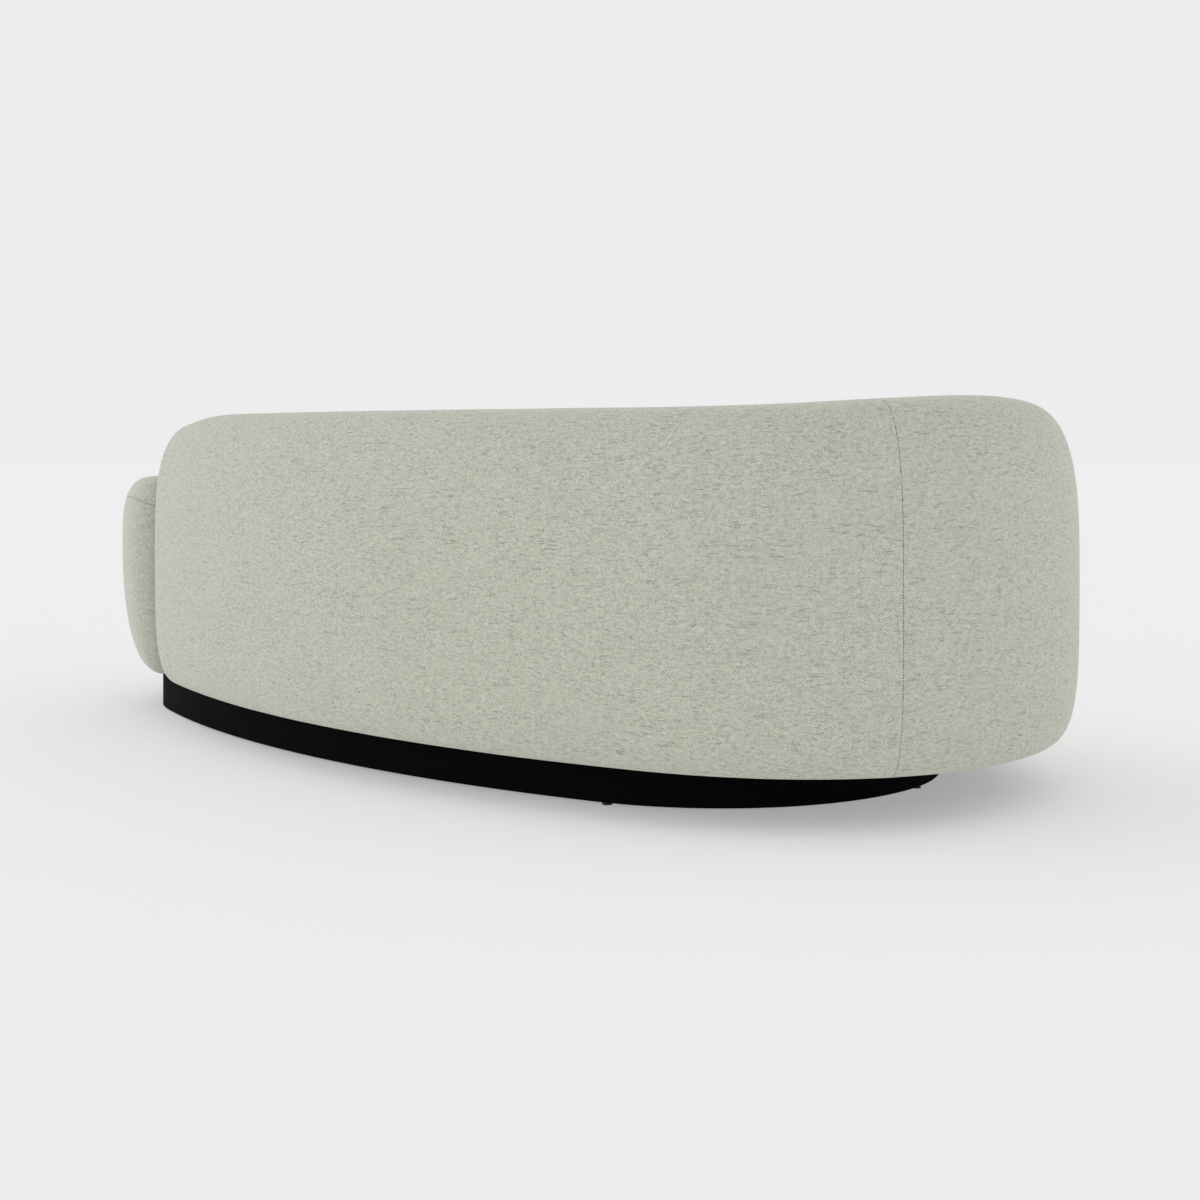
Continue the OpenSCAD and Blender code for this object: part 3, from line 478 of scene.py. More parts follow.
def close_holes(piece: bpy.types.Object) -> None:
    """Fill the open rings of a piece, one by one, and turn all its faces outwards."""
    bpy.context.view_layer.objects.active = piece
    mesh = piece.data
    for _ in range(MOST_HOLES):
        bpy.ops.object.mode_set(mode="EDIT")
        bpy.ops.mesh.select_mode(type="VERT")
        bpy.ops.mesh.select_all(action="DESELECT")
        bpy.ops.mesh.select_non_manifold()
        bpy.ops.object.mode_set(mode="OBJECT")
        nexts: dict[int, list[int]] = {}
        for e in mesh.edges:
            if e.select:
                a, b = e.vertices
                nexts.setdefault(a, []).append(b)
                nexts.setdefault(b, []).append(a)
        if not nexts:
            break
        ring, wait = set(), [min(nexts)]
        while wait:
            n = wait.pop()
            if n not in ring:
                ring.add(n)
                wait += nexts[n]
        mesh.vertices.foreach_set("select", [n in ring for n in range(len(mesh.vertices))])
        bpy.ops.object.mode_set(mode="EDIT")
        bpy.ops.mesh.edge_face_add()
        bpy.ops.object.mode_set(mode="OBJECT")
    edit(piece, face_out)


def face_up(piece: bpy.types.Object) -> None:
    """Turn the faces of a laid cover all one way, with its crown up."""
    edit(piece, face_out)
    crown = max(piece.data.polygons, key=lambda face: face.center.z)
    if crown.normal.z < 0:
        edit(piece, bpy.ops.mesh.flip_normals)


def roll_in(distance: float) -> float:
    """Depth to which cloth rolls in at a distance from its seam."""
    left = SEAM_R - distance
    return SEAM_R - math.sqrt(SEAM_R * SEAM_R - left * left) if left > 0 else 0.0


def lump(place: Vector) -> float:
    """Soft noise at a place, from 0 to 1."""
    return 0.5 + 0.5 * noise.noise(place)


def slackness(place: Vector) -> float:
    """Depth of the cloth's soft unevenness at a place, from nothing to about a millimetre."""
    wide, small = lump(place * WIDE_LUMPS), lump(place * SMALL_LUMPS + Vector((7, 3, 1)))
    return SLACK_WIDE * wide + SLACK_SMALL * small


def pucker(distance: float, along: float, gather: float = 1.0) -> float:
    """Depth of the small gathers beside a seam.

    Args:
        distance: distance from the seam.
        along: distance along it.
        gather: how full the cloth is there; gathers grow deeper and longer with it.

    Returns:
        The depth, which fades within two centimetres where gather is 1.
    """
    place = Vector((along * WANDER_LUMPS[0], distance * WANDER_LUMPS[1] * gather, 0))
    wander = WANDER * noise.noise(place)
    beat = 0.5 + 0.5 * math.sin(along * 2 * math.pi / GATHER_PITCH + wander)
    return GATHER_DEPTH * gather * math.exp(-distance / (GATHER_REACH * gather)) * beat


class Wall:
    """A soft wall: arcs in plan, each with the same side profile.

    Args:
        arcs: the stretches of the closed outline, in order.
        thickness: its thickness.
        half: inset at which the outer and inner faces meet on the crest.
    """

    def __init__(self, arcs: list[Arc], thickness: float, half: float) -> None:
        self.arcs = arcs
        self.thickness = thickness
        self.half = half

    @property
    def middle(self) -> Column:
        """The column on which the rows are spaced."""
        return self.arcs[0].column(0.5)

    def profile(self, column: Column) -> Profile:
        """The side profile at a column."""
        raise NotImplementedError

    def swell(self, column: Column, z: float, top: float) -> float:
        """How far the face towards the sitter swells at height z."""
        return 0.0

    def sloped(self, angle: float, column: Column) -> float:
        """The angle at which a row that starts level crosses a column."""
        return angle

    def gather(self, column: Column, angle: float) -> float:
        """How full the cloth is at a place, 1 where it is cut close."""
        return 1.0

    def pressed(self, place: Vector) -> float:
        """How far the cloth is pressed in at a place by what stands against it."""
        return 0.0

    def section(self, angle: float, column: Column) -> tuple[float, float]:
        """Inset and height at an angle of the profile of a column."""
        shape = self.profile(column)
        inset, z = shape.at(angle)
        return inset - self.swell(column, z, shape.top), z

    def drawn(self, angle: float, column: Column, depth: float) -> tuple[float, float]:
        """Inset and height of the profile's point, moved inwards by depth."""
        return moved_in(lambda a: self.section(a, column), angle, depth)

    def place(self, column: Column, inset: float, z: float) -> Vector:
        """The point at an inset and a height on a column."""
        p = column.centre + (column.radius - inset) * towards(column.turn)
        return Vector((p.real, p.imag, z))

    def path(self, stretches: Sequence[tuple[int, float, float]], step: float,
             sewn: Ends) -> list[Column]:
        """Columns along some stretches of the wall.

        Args:
            stretches: number of the arc, and the shares at which it is entered and left.
            step: usual distance between columns.
            sewn: which of its ends are sewn.

        Returns:
            The columns, with their distance along the cloth.
        """
        lengths = [self.arcs[n].length * abs(b - a) for n, a, b in stretches]
        columns = []
        for run in spaced(sum(lengths), step, sewn):
            left, k = run, 0
            while k < len(lengths) - 1 and left > lengths[k]:
                left -= lengths[k]
                k += 1
            n, a, b = stretches[k]
            columns.append(self.arcs[n].column(mix(a, b, min(1.0, left / lengths[k])), run))
        return columns

    def climb(self, column: Column, low: float, high: float, step: float, sewn: Ends) -> list[Row]:
        """Rows up the profile, evenly spaced along the cloth.

        Args:
            column: the column on which they are spaced.
            low, high: the first and the last angle.
            step: usual distance between rows.
            sewn: which of the foot and the head is sewn.

        Returns:
            The rows, from the bottom up.
        """
        halves = [(low, min(0.0, high)), (max(0.0, low), high)]
        angles = [low]
        for a, b in halves:
            if b > a:
                for i in range(1, CLIMB_STEPS + 1):
                    s, t = (i / CLIMB_STEPS) ** CLIMB_EASE, (1 - i / CLIMB_STEPS) ** CLIMB_EASE
                    angles.append(mix(a, b, s / (s + t)))
        runs = [0.0]
        for a, b in zip(angles, angles[1:]):
            p, q = self.section(a, column), self.section(b, column)
            runs.append(runs[-1] + math.hypot(q[0] - p[0], q[1] - p[1]))
        rows, k = [], 0
        for run in spaced(runs[-1], step, sewn):
            while k < len(runs) - 2 and runs[k + 1] < run:
                k += 1
            share = (run - runs[k]) / max(TINY, runs[k + 1] - runs[k])
            rows.append(Row(mix(angles[k], angles[k + 1], min(1.0, share)), run))
        return rows

    def spot(self, column: Column, row: Row, depth: float, seam: float, along: float) -> Spot:
        """The spot where a column crosses a row.

        Args:
            column: the column.
            row: the row.
            depth: how far the cloth lies inside the form.
            seam: distance from the nearest seam.
            along: distance along that seam.

        Returns:
            The spot, with the cloth's softness in its depth.
        """
        angle = self.sloped(row.angle, column)
        inset, z = self.drawn(angle, column, 0.0)
        place = self.place(column, inset, z)
        soft = slackness(place) * min(1.0, seam / SLACK_REACH)
        depth += soft + roll_in(seam) + pucker(seam, along, self.gather(column, angle))
        inset, z = self.drawn(angle, column, depth + self.pressed(place))
        inset = min(self.half, inset) + row.lip
        return Spot(self.place(column, inset, z), (column.run, row.run), seam)

    def cover(self, columns: list[Column], rows: list[Row]) -> Panel:
        """A panel of the cover, sewn at its head and at both its ends.

        Args:
            columns: its columns, in order round the wall.
            rows: its rows, from the bottom up.

        Returns:
            The panel.
        """
        last, head = columns[-1].run, rows[-1].run
        lines = []
        for c in columns:
            line = []
            for r in rows:
                seam, along = min((c.run, r.run), (last - c.run, r.run), (head - r.run, c.run))
                line.append(self.spot(c, r, 0.0, seam, along))
            lines.append(line)
        return Panel(lines)

    def core(self, angle: float, column: Column, depth: float, outer: float, inner: float,
             top: float) -> Vector:
        """A point inside the foam, kept clear of the wooden core.

        Args:
            angle: angle on the profile.
            column: the column.
            depth: least thickness of the foam.
            outer, inner: inset of the core on the outer face and towards the sitter.
            top: top of the core.

        Returns:
            The point.
        """
        inset, z = self.drawn(angle, column, depth)
        inset = max(mix(inner, outer, column.outer), min(self.half, inset))
        return self.place(column, inset, min(top, z))


class BackWall(Wall):
    """The high back, closed in plan, with a rounded end at the arm and one at the front."""

    roll = 0.089
    low_curve = 4.0
    belly = 0.030
    crest_gap = 0.0005
    low_drop, low_drop_run = 0.018, 0.260
    high_drop, high_drop_run = 0.025, 0.440
    level_turn = 178.0
    # Arcs of the outer and the inner face, from the middle of one rounded end to the other's
    outside = ((7, 0.5, 1.0), (0, 0.0, 1.0), (1, 0.0, 1.0), (2, 0.0, 1.0), (3, 0.0, 0.5))
    inside = ((3, 0.5, 1.0), (4, 0.0, 1.0), (5, 0.0, 1.0), (6, 0.0, 1.0), (7, 0.0, 0.5))

    def __init__(self) -> None:
        p = PLAN
        low_end, high_end = (p.back_start,) * 2, (p.back_end,) * 2
        outer, inner = (1.0, 1.0), (0.0, 0.0)
        super().__init__([
            Arc(p.rear, p.rear_r, p.back_start, p.rear_turn, outer, (p.back_start, p.rear_turn)),
            Arc(p.corner, p.corner_r, p.rear_turn, p.corner_turn, outer,
                (p.rear_turn, p.corner_turn)),
            Arc(p.high, p.high_end_r, p.corner_turn, p.back_end, outer,
                (p.corner_turn, p.back_end)),
            Arc(p.back_high, p.back_t / 2, p.back_end, p.back_end + 180, (1.0, 0.0), high_end),
            Arc(p.high, p.back_t - p.high_end_r, p.back_end + 180, p.corner_turn + 180, inner,
                (p.back_end, p.corner_turn)),
            Arc(p.corner, p.back_t - p.corner_r, p.corner_turn + 180, p.rear_turn + 180, inner,
                (p.corner_turn, p.rear_turn)),
            Arc(p.rear, p.back_t - p.rear_r, p.rear_turn + 180, p.back_start + 180, inner,
                (p.rear_turn, p.back_start)),
            Arc(p.back_low, p.back_t / 2, p.back_start + 180, p.back_start + 360, (0.0, 1.0),
                low_end),
        ], p.back_t, p.back_t / 2 - self.crest_gap)

    def crest(self, turn: float) -> float:
        """Height of the top at a turn."""
        p, z = PLAN, LEVEL
        if turn < p.rear_turn:
            share = (turn - p.back_start) / (p.rear_turn - p.back_start)
            top = mix(z.top_low, z.top_mid, ease(share))
        else:
            share = (turn - p.rear_turn) / (self.level_turn - p.rear_turn)
            top = mix(z.top_mid, z.top_high, ease(share))
        low_run = p.rear_r * math.radians(turn - p.back_start)
        high_run = p.high_end_r * math.radians(p.back_end - turn)
        return (top - self.low_drop * max(0.0, 1 - low_run / self.low_drop_run) ** 2
                - self.high_drop * max(0.0, 1 - high_run / self.high_drop_run) ** 2)

    def profile(self, column: Column) -> Profile:
        """The side profile at a column."""
        return Profile(mix(LEVEL.foam, LEVEL.under, column.outer), LEVEL.bulge,
                       self.crest(column.station), self.roll * column.outer, self.low_curve,
                       self.half)

    def swell(self, column: Column, z: float, top: float) -> float:
        """How far the face towards the sitter swells at height z."""
        rise = max(0.0, min(1.0, (z - LEVEL.seat_top) / (top - LEVEL.seat_top)))
        return self.belly * (1 - column.outer) * math.sin(math.pi * rise)


class ArmWall(Wall):
    """The low arm, closed in plan, rounded at both ends."""

    roll = 0.084
    low_curve = 2.2
    # Width of the crest's flat middle
    crest_w = 0.024
    seam_dip = 0.034
    # Distance from the back over which the seam sinks, and angle below it over which rows follow
    dip_reach, dip_spread = 0.12, 80.0
    # How much fuller the cloth is beside the sunk seam, and over what angle
    fullness, full_spread = 1.5, 14.0
    # Depth of the crease beside the back, and its reach
    crease, crease_reach = 0.020, 0.070

    def __init__(self) -> None:
        p = PLAN
        super().__init__([
            Arc(p.low, p.low_end_r, p.arm_front, p.arm_back),
            Arc(p.arm_rear, p.arm_t / 2, p.arm_back, p.arm_back + 180, (1.0, 0.0)),
            Arc(p.low, p.arm_t - p.low_end_r, p.arm_back + 180, p.arm_front + 180, (0.0, 0.0)),
            Arc(p.arm_fore, p.arm_t / 2, p.arm_front + 180, p.arm_front + 360, (0.0, 1.0)),
        ], p.arm_t, p.arm_t / 2 - self.crest_w / 2)

    def profile(self, column: Column) -> Profile:
        """The side profile at a column."""
        return Profile(mix(LEVEL.foam, LEVEL.under, column.outer), LEVEL.bulge, LEVEL.arm_top,
                       self.roll * column.outer, self.low_curve, self.half)

    def gap(self, place: complex) -> float:
        """Distance in plan from the rounded end of the back."""
        return abs(place - PLAN.back_low) - PLAN.back_t / 2

    def rearward(self, column: Column) -> float:
        """How near a column is to the back, from 0 where the seam begins to sink to 1."""
        place = column.centre + column.radius * towards(column.turn)
        return max(0.0, min(1.0, 1 - self.gap(place) / self.dip_reach))

    def sloped(self, angle: float, column: Column) -> float:
        """Rows near the seam sink towards the rear end, outside only."""
        level = self.seam_angle
        low = self.profile(column).top_angle(LEVEL.arm_seam - self.seam_dip)
        reach = 1 - abs(angle - level) / (90 - level if angle > level else self.dip_spread)
        return angle - (level - low) * max(0.0, reach) * self.rearward(column) * column.outer

    def gather(self, column: Column, angle: float) -> float:
        """The cloth is full where the seam runs in behind the back."""
        near = math.exp(-((angle - self.sloped(self.seam_angle, column)) / self.full_spread) ** 2)
        return 1 + self.fullness * self.rearward(column) * near

    def pressed(self, place: Vector) -> float:
        """The end of the back stands against the arm and leaves a crease."""
        near = 1 - self.gap(complex(place.x, place.y)) / self.crease_reach
        return self.crease * max(0.0, min(1.0, near)) ** 2

    @property
    def seam_angle(self) -> float:
        """Angle of the horizontal seam on the profile."""
        return self.profile(self.middle).top_angle(LEVEL.arm_seam)

    def across(self, step: float) -> list[tuple[Column, Column]]:
        """Pairs of columns that face each other across the arm, from its front to its rear tip."""
        pairs = []
        for n, a, b, m in ((3, 0.5, 1.0, 3), (0, 0.0, 1.0, 2), (1, 0.0, 0.5, 1)):
            arc = self.arcs[n]
            count = max(2, round(arc.length * (b - a) / step))
            for i in range(count + 1):
                if i or n == 3:
                    share = mix(a, b, i / count)
                    pairs.append((arc.column(share), self.arcs[m].column(1 - share)))
        return pairs


# Finishes


# Least of an uneven factor, and how much it varies
UNEVEN = (0.7, 0.6)


def shade(colour: Colour, k: float) -> Colour:
    """A colour, k times as bright."""
    return tuple(c * k for c in colour)


def joined(operation: str, swapped: bool = False) -> Callable[["Tone", "Tone | float"], "Tone"]:
    """A method that gives the result of a Math node on a tone and another value.

    Args:
        operation: the node's operation.
        swapped: whether the other value comes first.

    Returns:
        The method.
    """
    def method(self: "Tone", other: "Tone | float") -> "Tone":
        """The result of the node."""
        return self.maths(operation, *((other, self) if swapped else (self, other)))
    return method


class Tone:
    """A shader output that adds, multiplies and compares as a number does."""

    def __init__(self, graph: "Graph", socket: bpy.types.NodeSocket) -> None:
        self.graph = graph
        self.socket = socket

    def maths(self, operation: str, *values: "Tone | float") -> "Tone":
        """The result of a Math node on values, in order."""
        return self.graph.node("ShaderNodeMath", {"operation": operation}, dict(enumerate(values)))

    def own(self, operation: str) -> "Tone":
        """The result of a Math node on this alone."""
        return self.maths(operation, self)

    __add__ = __radd__ = joined("ADD")
    __mul__ = __rmul__ = joined("MULTIPLY")
    __sub__, __rsub__ = joined("SUBTRACT"), joined("SUBTRACT", True)
    __truediv__, __pow__, __gt__ = joined("DIVIDE"), joined("POWER"), joined("GREATER_THAN")

    def clipped(self) -> "Tone":
        """This, kept from 0 to 1."""
        return self.maths("MINIMUM", self.maths("MAXIMUM", self, 0.0), 1.0)

    def over(self, start: float, edge: float) -> "Tone":
        """How far this is over a value, made sharper by edge and kept from 0 to 1."""
        return ((self - start) * edge).clipped()

    def uneven(self) -> "Tone":
        """A factor near 1 that varies with this."""
        return UNEVEN[0] + UNEVEN[1] * self


class Graph:
    """The node graph of one material, or of the world.

    Args:
        name: name of the material.
        world: the world, where the graph is its own.
    """

    def __init__(self, name: str, world: bpy.types.World | None = None) -> None:
        self.owner = world or bpy.data.materials.new(name)
        self.owner.use_nodes = True
        self.tree = self.owner.node_tree
        self.tree.nodes.clear()

    def node(self, kind: str, settings: dict, values: dict, output: int | str = 0) -> Tone:
        """Add a node.

        Args:
            kind: its type.
            settings: its settings, set first; stops are a ramp's places and colours.
            values: numbers, colours or tones by socket name or number.
            output: name or number of the output to return.

        Returns:
            That output.
        """
        made = self.tree.nodes.new(kind)
        for key, value in settings.items():
            if key == "stops":
                ramp = made.color_ramp
                while len(ramp.elements) < len(value):
                    ramp.elements.new(1.0)
                for stop, (at, colour) in zip(ramp.elements, value):
                    stop.position = at
                    stop.color = (*colour, 1.0)
            else:
                setattr(made, key, value)
        for key, value in values.items():
            named = (s for s in made.inputs if s.enabled and s.name == key)
            socket = made.inputs[key] if isinstance(key, int) else next(named)
            if isinstance(value, Tone):
                self.tree.links.new(value.socket, socket)
            elif isinstance(value, tuple) and len(value) == 3 and socket.type == "RGBA":
                socket.default_value = (*value, 1.0)
            else:
                socket.default_value = value
        if isinstance(output, str):
            return Tone(self, next(s for s in made.outputs if s.enabled and s.name == output))
        return Tone(self, made.outputs[output])

    def blend(self, a: Tone | Colour, b: Tone | Colour, share: Tone | float) -> Tone:
        """A mix of two colours."""
        return self.node("ShaderNodeMix", {"data_type": "RGBA"}, {"Factor": share, "A": a, "B": b},
                         "Result")

    def cloth(self) -> tuple[Tone, Tone]:
        """Places along and up the cloth, in metres."""
        return self.parts(self.node("ShaderNodeUVMap", {"uv_map": "cloth"}, {}))[:2]

    def spot(self) -> tuple[Tone, Tone, Tone]:
        """Object coordinates, in metres."""
        return self.parts(self.node("ShaderNodeTexCoord", {}, {}, "Object"))

    def parts(self, vector: Tone) -> tuple[Tone, Tone, Tone]:
        """The three values of a vector."""
        outs = self.node("ShaderNodeSeparateXYZ", {}, {0: vector}).socket.node.outputs
        return Tone(self, outs[0]), Tone(self, outs[1]), Tone(self, outs[2])

    def vector(self, place: Sequence[Tone | float]) -> Tone:
        """A vector of three values."""
        return self.node("ShaderNodeCombineXYZ", {}, dict(enumerate(place)))

    def noise(self, place: Sequence[Tone | float], detail: float = 2.0, rough: float = 0.5) -> Tone:
        """Soft noise, about 0.5 on average, one lump to a unit."""
        return self.node("ShaderNodeTexNoise", {}, {"Vector": self.vector(place), "Scale": 1.0,
                                                    "Detail": detail, "Roughness": rough})

    def specks(self, place: Sequence[Tone | float]) -> Tone:
        """A random value for each unit cell."""
        cell = self.node("ShaderNodeVectorMath", {"operation": "FLOOR"}, {0: self.vector(place)})
        return self.node("ShaderNodeTexWhiteNoise", {"noise_dimensions": "3D"}, {"Vector": cell},
                         "Value")

    def bump(self, height: Tone, distance: float, strength: float = 1.0) -> Tone:
        """A normal that follows a height."""
        return self.node("ShaderNodeBump", {}, {"Strength": strength, "Distance": distance,
                                                "Height": height})

    def finish(self, values: dict) -> bpy.types.Material:
        """Close the graph with the surface shader.

        Args:
            values: the shader's sockets by name.

        Returns:
            The material.
        """
        self.close(self.node("ShaderNodeBsdfPrincipled", {}, values))
        return self.owner

    def close(self, surface: Tone) -> None:
        """Join a shader to the graph's output."""
        kind = "World" if isinstance(self.owner, bpy.types.World) else "Material"
        end = self.tree.nodes.new(f"ShaderNodeOutput{kind}")
        self.tree.links.new(surface.socket, end.inputs["Surface"])


@dataclass(frozen=True)
class Melange:
    """Pale sage cover cloth: a chunky plain weave of mixed yarns with dark slubs, and painted shade
    between the yarns and along the seams.
    """

    pale: Colour = (0.650, 0.665, 0.572)
    deep: Colour = (0.200, 0.206, 0.156)
    pitch: float = 0.0023
    middle: float = 0.655
    # How much each yarn, the weave, picks, ends, fibres, the painted shade in the gaps between
    # yarns, clouds, dashes and the painted shade along seams change it
    by_yarn: float = 0.40
    by_weave: float = 0.60
    by_pick: float = 0.50
    by_end: float = 0.10
    by_fibre: float = 0.60
    by_yarn_gap_shade: float = 0.16
    by_cloud: float = 0.06
    by_dash: tuple[float, float] = (0.30, 0.40)
    by_seam_shade: float = 0.70
    # Where the slubs and the patches that hold them begin, and how sharply
    slub_at: float = 0.600
    slub_edge: float = 9.0
    patch_at: float = 0.36
    patch_edge: float = 4.0
    # Where a stitch-length dash of the painted shade at a seam begins and how sharply, how far from
    # the seam the painted shade shows, and the least painted shade along the seam
    stitch_shade_at: float = 0.50
    stitch_shade_edge: float = 9.0
    seam_shade_w: float = 0.0020
    least_seam_shade: float = 0.12
    # Lumps along and up the cloth, to the metre or to the yarn, of what changes it
    tight_lumps: tuple[float, float] = (55, 75)
    pick_lumps: tuple[float, float] = (48, 1.73)
    end_lumps: tuple[float, float] = (1.73, 70)
    slub_lumps: tuple[float, float] = (38, 2.37)
    patch_lumps: tuple[float, float] = (16, 26)
    cloud_lumps: tuple[float, float] = (6, 6)
    fibre_lumps: tuple[float, float] = (90, 190)
    stitch_shade_lumps: tuple[float, float] = (110, 110)

    def build(self) -> bpy.types.Material:
        """Make the material."""
        g = Graph("sage melange cloth")
        u, v = g.cloth()
        warp, weft = u / self.pitch, v / self.pitch
        end, pick = warp.own("FLOOR"), weft.own("FLOOR")
        pair = (end + pick) / 2
        over = pair.own("FRACT") > 0.25
        ridge_u = (warp * math.pi).own("SINE")
        ridge_v = (weft * math.pi).own("SINE")
        ridge_u, ridge_v = ridge_u * ridge_u, ridge_v * ridge_v
        height = over * ridge_u + (1 - over) * ridge_v
        yarn = g.specks((warp, weft, 0.5))

        def layer(along: Tone, up: Tone, lumps: tuple[float, float], level: float,
                  detail: float = 2.0, rough: float = 0.5) -> Tone:
            """Soft noise over the cloth, cut at a level of its own."""
            return g.noise((along * lumps[0], up * lumps[1], level), detail, rough)

        tight = layer(u, v, self.tight_lumps, 7.0)
        pick_tone = layer(u, pick, self.pick_lumps, 9.0, 1.0)
        end_tone = layer(end, v, self.end_lumps, 3.0, 2.0, 0.6)
        slub = layer(u, pick, self.slub_lumps, 1.0, 1.0)
        patch = layer(u, v, self.patch_lumps, 5.0)
        cloud = layer(u, v, self.cloud_lumps, 2.0)
        grain = layer(u, v, self.fibre_lumps, 6.0, 1.0)
        dash = slub.over(self.slub_at, self.slub_edge) * patch.over(self.patch_at, self.patch_edge)
        everywhere, between = self.by_dash
        # The height term is painted shade: the gaps between the yarns are darkened and the yarn
        # crowns lightened.
        tone = (self.by_yarn * (yarn - 0.5) + self.by_weave * (over - 0.5) * tight.uneven()
                + self.by_pick * (pick_tone - 0.5) + self.by_end * (end_tone - 0.5)
                + self.by_fibre * (grain - 0.5) - dash * (everywhere + between * (1 - over))
                + self.by_yarn_gap_shade * (height - 0.5) + self.by_cloud * (cloud - 0.5))
        # Painted shade in the sewn groove: the cloth is darkened near each seam, more in
        # stitch-length dashes.
        near = g.node("ShaderNodeAttribute", {"attribute_name": "seam_distance"}, {}, "Fac")
        beat = layer(u, v, self.stitch_shade_lumps, 4.0, 1.0)
        stitch_shade = beat.over(self.stitch_shade_at, self.stitch_shade_edge)
        seam_shading = (1 - near / self.seam_shade_w).clipped()
        seam_shading = seam_shading * (self.least_seam_shade + (1 - self.least_seam_shade) * stitch_shade)
        share = (self.middle + tone - self.by_seam_shade * seam_shading).clipped()
        return g.finish({
            "Base Color": g.blend(self.deep, self.pale, share),
            "Roughness": 0.9,
            "Specular IOR Level": 0.18,
            "Sheen Weight": 0.55,
            "Sheen Roughness": 0.40,
            "Sheen Tint": (0.93, 0.95, 0.90, 1.0),
            "Normal": g.bump(height * yarn.uneven(), 0.0007, 0.45),
        })


@dataclass(frozen=True)
class CutFoam:
    """Cream seat foam with open pores on its cut faces."""

    colour: Colour = (0.80, 0.73, 0.50)

    def build(self) -> bpy.types.Material:
        """Make the material."""
        g = Graph("cream cut foam")
        x, y, z = g.spot()
        pore = g.node("ShaderNodeTexVoronoi", {}, {"Vector": g.vector((x, y, z)), "Scale": 420.0})
        tone = g.noise((x * 9, y * 9, z * 9), 3.0)
        # The pores are darkened in colour as well as sunk by the bump: painted shade inside the
        # open cells.
        share = (0.55 * pore + 0.6 * tone).clipped()
        return g.finish({
            "Base Color": g.blend(shade(self.colour, 0.72), self.colour, share),
            "Roughness": 0.95,
            "Normal": g.bump(pore, 0.0012, 0.5),
        })


@dataclass(frozen=True)
class Strap:
    """Black elastic webbing with a ribbed weave."""

    colour: Colour = (0.022, 0.022, 0.023)

    def build(self) -> bpy.types.Material:
        """Make the material."""
        g = Graph("black woven strap")
        x, y, z = g.spot()
        rib = (x * 2400).own("SINE") * (y * 2400).own("SINE")
        fuzz = g.noise((x * 300, y * 300, z * 300), 2.0)
        share = (0.35 + 0.35 * rib + 0.6 * (fuzz - 0.5)).clipped()
        return g.finish({
            "Base Color": g.blend(self.colour, (0.075, 0.075, 0.078), share),
            "Roughness": 0.82,
            "Normal": g.bump(rib, 0.0005, 0.6),
        })


# Pale and dark tone of two woods, and thickness of a ply
BIRCH = ((0.66, 0.50, 0.32), (0.50, 0.34, 0.19))
SOFTWOOD = ((0.63, 0.43, 0.23), (0.44, 0.26, 0.12))
PLY_T = 0.0036


@dataclass(frozen=True)
class Wood:
    """Raw wood with long grain, pores and growth bands, in plies where it is plywood.

    A lined board is wrapped in a black fleece.
    """

    name: str
    pale: Colour
    dark: Colour
    ply: float = 0.0
    lined: bool = False
    # Lumps to the metre along X, Y and Z
    grain: tuple[float, float, float] = (3.0, 42.0, 42.0)

    def build(self) -> bpy.types.Material:
        """Make the material."""
        g = Graph(self.name)
        x, y, z = g.spot()
        a, b, c = self.grain
        warm = g.noise((x * a * 0.25, y * b * 0.25, z * c * 0.25), 3.0)
        fibre = g.noise((x * a, y * b, z * c), 4.0, 0.6)
        pore = g.noise((x * a * 6, y * b * 6, z * c * 6), 2.0, 0.7)
        wave = (warm * 34).own("SINE")
        share = (0.35 + 0.18 * wave + 0.9 * (fibre - 0.5) + 0.5 * (pore - 0.5)).clipped()
        colour = g.blend(self.pale, self.dark, share)
        if self.lined:
            fleece = g.noise((x * 500, y * 500, 0.0), 3.0, 0.7)
            colour = g.blend((0.010, 0.010, 0.010), (0.032, 0.032, 0.033), fleece)
        elif self.ply:
            up = g.parts(g.node("ShaderNodeNewGeometry", {}, {}, "Normal"))[2]
            side = 1 - up.own("ABSOLUTE")
            layer = (z / self.ply).own("FRACT") > 0.5
            colour = g.blend(colour, shade(self.dark, 0.72), layer * side * 0.55)
        return g.finish({
            "Base Color": colour,
            "Roughness": 0.55 + 0.3 * fibre,
            "Normal": g.bump(pore + 0.4 * fibre, 0.0004, 0.35),
        })


@dataclass(frozen=True)
class Pressed:
    """Brown fibreboard with short pressed fibres."""

    colour: Colour = (0.30, 0.19, 0.10)

    def build(self) -> bpy.types.Material:
        """Make the material."""
        g = Graph("pressed fibreboard")
        x, y, z = g.spot()
        fibre = g.noise((x * 240, y * 240, z * 120), 3.0, 0.7)
        cloud = g.noise((x * 12, y * 12, z * 12), 2.0)
        share = (fibre + 0.7 * (cloud - 0.5)).clipped()
        return g.finish({
            "Base Color": g.blend(shade(self.colour, 0.6), shade(self.colour, 1.35), share),
            "Roughness": 0.8,
            "Normal": g.bump(fibre, 0.0003, 0.4),
        })


@dataclass(frozen=True)
class MattBlack:
    """Matt black lacquer on the bent plinth, with a fine spray texture and a little floor dust."""

    colour: Colour = (0.0030, 0.0034, 0.0032)

    def build(self) -> bpy.types.Material:
        """Make the material."""
        g = Graph("matt black lacquer")
        x, y, z = g.spot()
        spray = g.noise((x * 900, y * 900, z * 900), 2.0)
        cloud = g.noise((x * 6, y * 6, z * 14), 3.0)
        dust = ((1 - z / 0.022).clipped() ** 2) * (0.3 + 0.7 * cloud)
        share = (0.10 * dust + 0.10 * (cloud - 0.4)).clipped()
        return g.finish({
            "Base Color": g.blend(self.colour, (0.020, 0.021, 0.020), share),
            "Roughness": 0.66 + 0.16 * cloud + 0.12 * dust,
            "Specular IOR Level": 0.018,
            "Normal": g.bump(spray, 0.0002, 0.3),
        })


